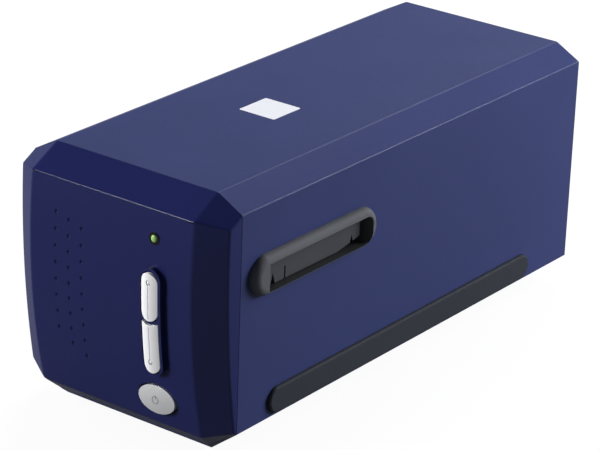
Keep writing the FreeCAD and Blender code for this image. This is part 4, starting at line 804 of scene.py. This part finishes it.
def slots_and_bars():
    """Slot surround, with the floor in the slot painted black as shade, and rubber bar, each on both sides.
    """
    ring = surround()
    twin = mirror_piece(ring, "surround_left")
    for piece, node in ((twin, "slot_surround_left"), (ring, "slot_surround_right")):
        seat(shaded(piece, 40), "housing", charcoal, node)
        # The slot's floor faces get the black as painted shade: the surround's top shades them.
        piece.data.materials.append(black_abs_and_slot_shade)
        for face in piece.data.polygons:
            inside = abs(face.center.z - SLOT_Z[0]) < 0.05 * MM and face.normal.z > 0.9
            face.material_index = int(inside)
    face_x = HALF_WIDTH + STRIP_PROUD
    strip = bar("rubber_bar_right", (STRIP_Y[0], STRIP_Z[0]), (STRIP_Y[1], STRIP_Z[1]),
                (HALF_WIDTH - STRIP_SUNK, face_x), "side", 64)
    bevel_edges(strip, lambda edge: min(v.co.x for v in edge.verts) > face_x - NEAR, STRIP_ROUND, 5)
    seat(shaded(mirror_piece(strip, "rubber_bar_left"), 40), "housing", rubber, "side_strip_left")
    seat(shaded(strip, 40), "housing", rubber, "side_strip_right")


housing()
label()
keys()
pips()
power_key()
indicator()
slots_and_bars()

FINISHES = {
    blue_shell: ["rear_panel"],
    rubber: ["rubber_feet"],
    flap_grey: ["dust_flap_right", "dust_flap_left"],
    solder_resist: ["switch_board", "lamp_board", "sensor_board", "main_board"],
    black_epoxy: ["tact_switches", "image_sensor", "board_components", "dc_jack"],
    zinc_steel: ["chassis", "housing_screws"],
    ground_steel: ["guide_rods", "lead_screw", "motor_shaft", "flap_pin_right", "flap_pin_left"],
    black_abs_and_slot_shade: ["film_track", "gate_frame", "lamp_housing", "screw_bearing"],
    spring_steel: ["detent_spring"],
    opal: ["lamp_diffuser", "lamp_leds"],
    cast_aluminium: ["carriage", "lens_barrel"],
    silvered_glass: ["scan_mirror"],
    acetal: ["rod_bushes", "lead_nut", "screw_gear", "motor_pinion"],
    nickel: ["stepper_motor", "usb_port"],
}
for material, names in FINISHES.items():
    for name in names:
        paint(nodes[name], material)


# Studio

def floor_and_background():
    """Pale matt floor and world. The camera sees both near white, with the floor's shadow kept. Reflections
    see only a little of the floor's glow and a soft gradient of the world, so that the satin sides keep their
    colour."""
    bpy.ops.object.select_all(action="DESELECT")
    bpy.ops.mesh.primitive_circle_add(vertices=96, radius=9, fill_type="NGON", location=(0, 0, -0.0002))
    floor = placed(bpy.context.object, "floor")
    material, tree = blank("white_paper_sweep")
    glow = add_node(tree, "ShaderNodeEmission", {"Color": (1, 1, 1, 1), "Strength": 1})
    path = add_node(tree, "ShaderNodeLightPath")
    grey = add_node(tree, "ShaderNodeMix", {"Factor": path.outputs["Is Camera Ray"]}, data_type="RGBA")
    grey.inputs[6].default_value = colour("606062")
    grey.inputs[7].default_value = colour("f4f4f5")
    diffuse = add_node(tree, "ShaderNodeBsdfDiffuse", {"Color": grey.outputs[2]})
    mirrored = add_node(tree, "ShaderNodeMath", {0: path.outputs["Is Glossy Ray"], 1: 0.05},
                        operation="MULTIPLY")
    share = add_node(tree, "ShaderNodeMath", {0: path.outputs["Is Camera Ray"], 1: 0.93,
                                              2: mirrored.outputs[0]}, operation="MULTIPLY_ADD")
    both = add_node(tree, "ShaderNodeMixShader", {0: share.outputs[0], 1: diffuse.outputs[0],
                                                  2: glow.outputs[0]})
    add_node(tree, "ShaderNodeOutputMaterial", {"Surface": both.outputs[0]})
    paint(floor, material)
    world = bpy.data.worlds.new("studio")
    bpy.context.scene.world = world
    world.use_nodes = True
    tree = world.node_tree
    tree.nodes.clear()
    path = add_node(tree, "ShaderNodeLightPath")
    seen = add_node(tree, "ShaderNodeMath", {0: path.outputs["Is Camera Ray"],
                                             1: path.outputs["Is Transmission Ray"]}, operation="MAXIMUM")
    place = add_node(tree, "ShaderNodeTexCoord").outputs["Generated"]
    way = add_node(tree, "ShaderNodeSeparateXYZ", {0: place})
    level = add_node(tree, "ShaderNodeMapRange", {"Value": way.outputs["Z"], "From Min": 0.2,
                                                  "From Max": 0.65, "To Min": 0.3, "To Max": 0.03})
    soft = add_node(tree, "ShaderNodeBackground", {"Color": (0.92, 0.96, 1, 1),
                                                   "Strength": level.outputs["Result"]})
    white = add_node(tree, "ShaderNodeBackground", {"Color": (1, 1, 1, 1), "Strength": 1})
    mix = add_node(tree, "ShaderNodeMixShader", {0: seen.outputs[0], 1: soft.outputs[0],
                                                 2: white.outputs[0]})
    add_node(tree, "ShaderNodeOutputWorld", {"Surface": mix.outputs[0]})


def lamp(name, place, aim, size, watts, mirrored=False):
    """Soft rectangular lamp. Only the small ones show in reflections, which keeps the flat sides' colour."""
    data = bpy.data.lights.new(name, "AREA")
    data.shape = "RECTANGLE"
    data.size, data.size_y = size
    data.energy = watts
    light = bpy.data.objects.new(name, data)
    light.location = place
    light.visible_glossy = mirrored
    light.rotation_euler = (Vector(aim) - Vector(place)).to_track_quat("-Z", "Y").to_euler()
    bpy.context.scene.collection.objects.link(light)


def camera():
    """A long lens from the front right, a little above: turn, rise and roll in degrees. The lens is given
    in pixels of an image 600 wide, and the place in metres from a point 60 mm above the floor."""
    turn, rise, roll = (math.radians(a) for a in (36.6008, 22.6587, 2.0442))
    back = Vector((math.sin(turn) * math.cos(rise), -math.cos(turn) * math.cos(rise), math.sin(rise)))
    right = (-back).cross(Vector((0, 0, 1))).normalized()
    up = right.cross(-back)
    level = math.cos(roll) * right + math.sin(roll) * up
    upright = -math.sin(roll) * right + math.cos(roll) * up
    data = bpy.data.cameras.new("view")
    data.sensor_width = 36
    data.lens = 2845.197 / 600 * 36
    data.clip_end = 50
    view = bpy.data.objects.new("view", data)
    place = Vector((0, 0, 0.06)) + back * 1.27498 - level * 1.2841 * MM - upright * 3.8114 * MM
    view.matrix_world = Matrix.Translation(place) @ Matrix((level, upright, back)).transposed().to_4x4()
    bpy.context.scene.collection.objects.link(view)
    bpy.context.scene.camera = view


floor_and_background()
lamp("back_left", (-0.45, 0.72, 1.38), (0, 0, 0.1), (0.8, 0.7), 15)
lamp("back_right", (0.75, 0.9, 0.42), (0, 0.1, 0.1), (0.6, 0.4), 24)
lamp("left_front", (-0.96, -1.2, 0.37), (0, 0, 0.06), (0.7, 0.5), 17.5)
lamp("left", (-1.5, -0.15, 0.42), (0, 0, 0.06), (0.7, 0.5), 24)
lamp("edge_light", (-0.83, -1.2, 0.75), (0, -0.1, 0.1), (0.25, 0.25), 7, True)
lamp("rim_light", (0.5, 0.93, 0.72), (0, 0, 0.08), (0.3, 0.3), 5, True)
lamp("ridge_light", (-0.3, 0.96, 0.9), (0, 0, 0.08), (0.3, 0.3), 1.5, True)
camera()
bpy.context.scene.view_settings.view_transform = "Standard"

bpy.context.view_layer.update()
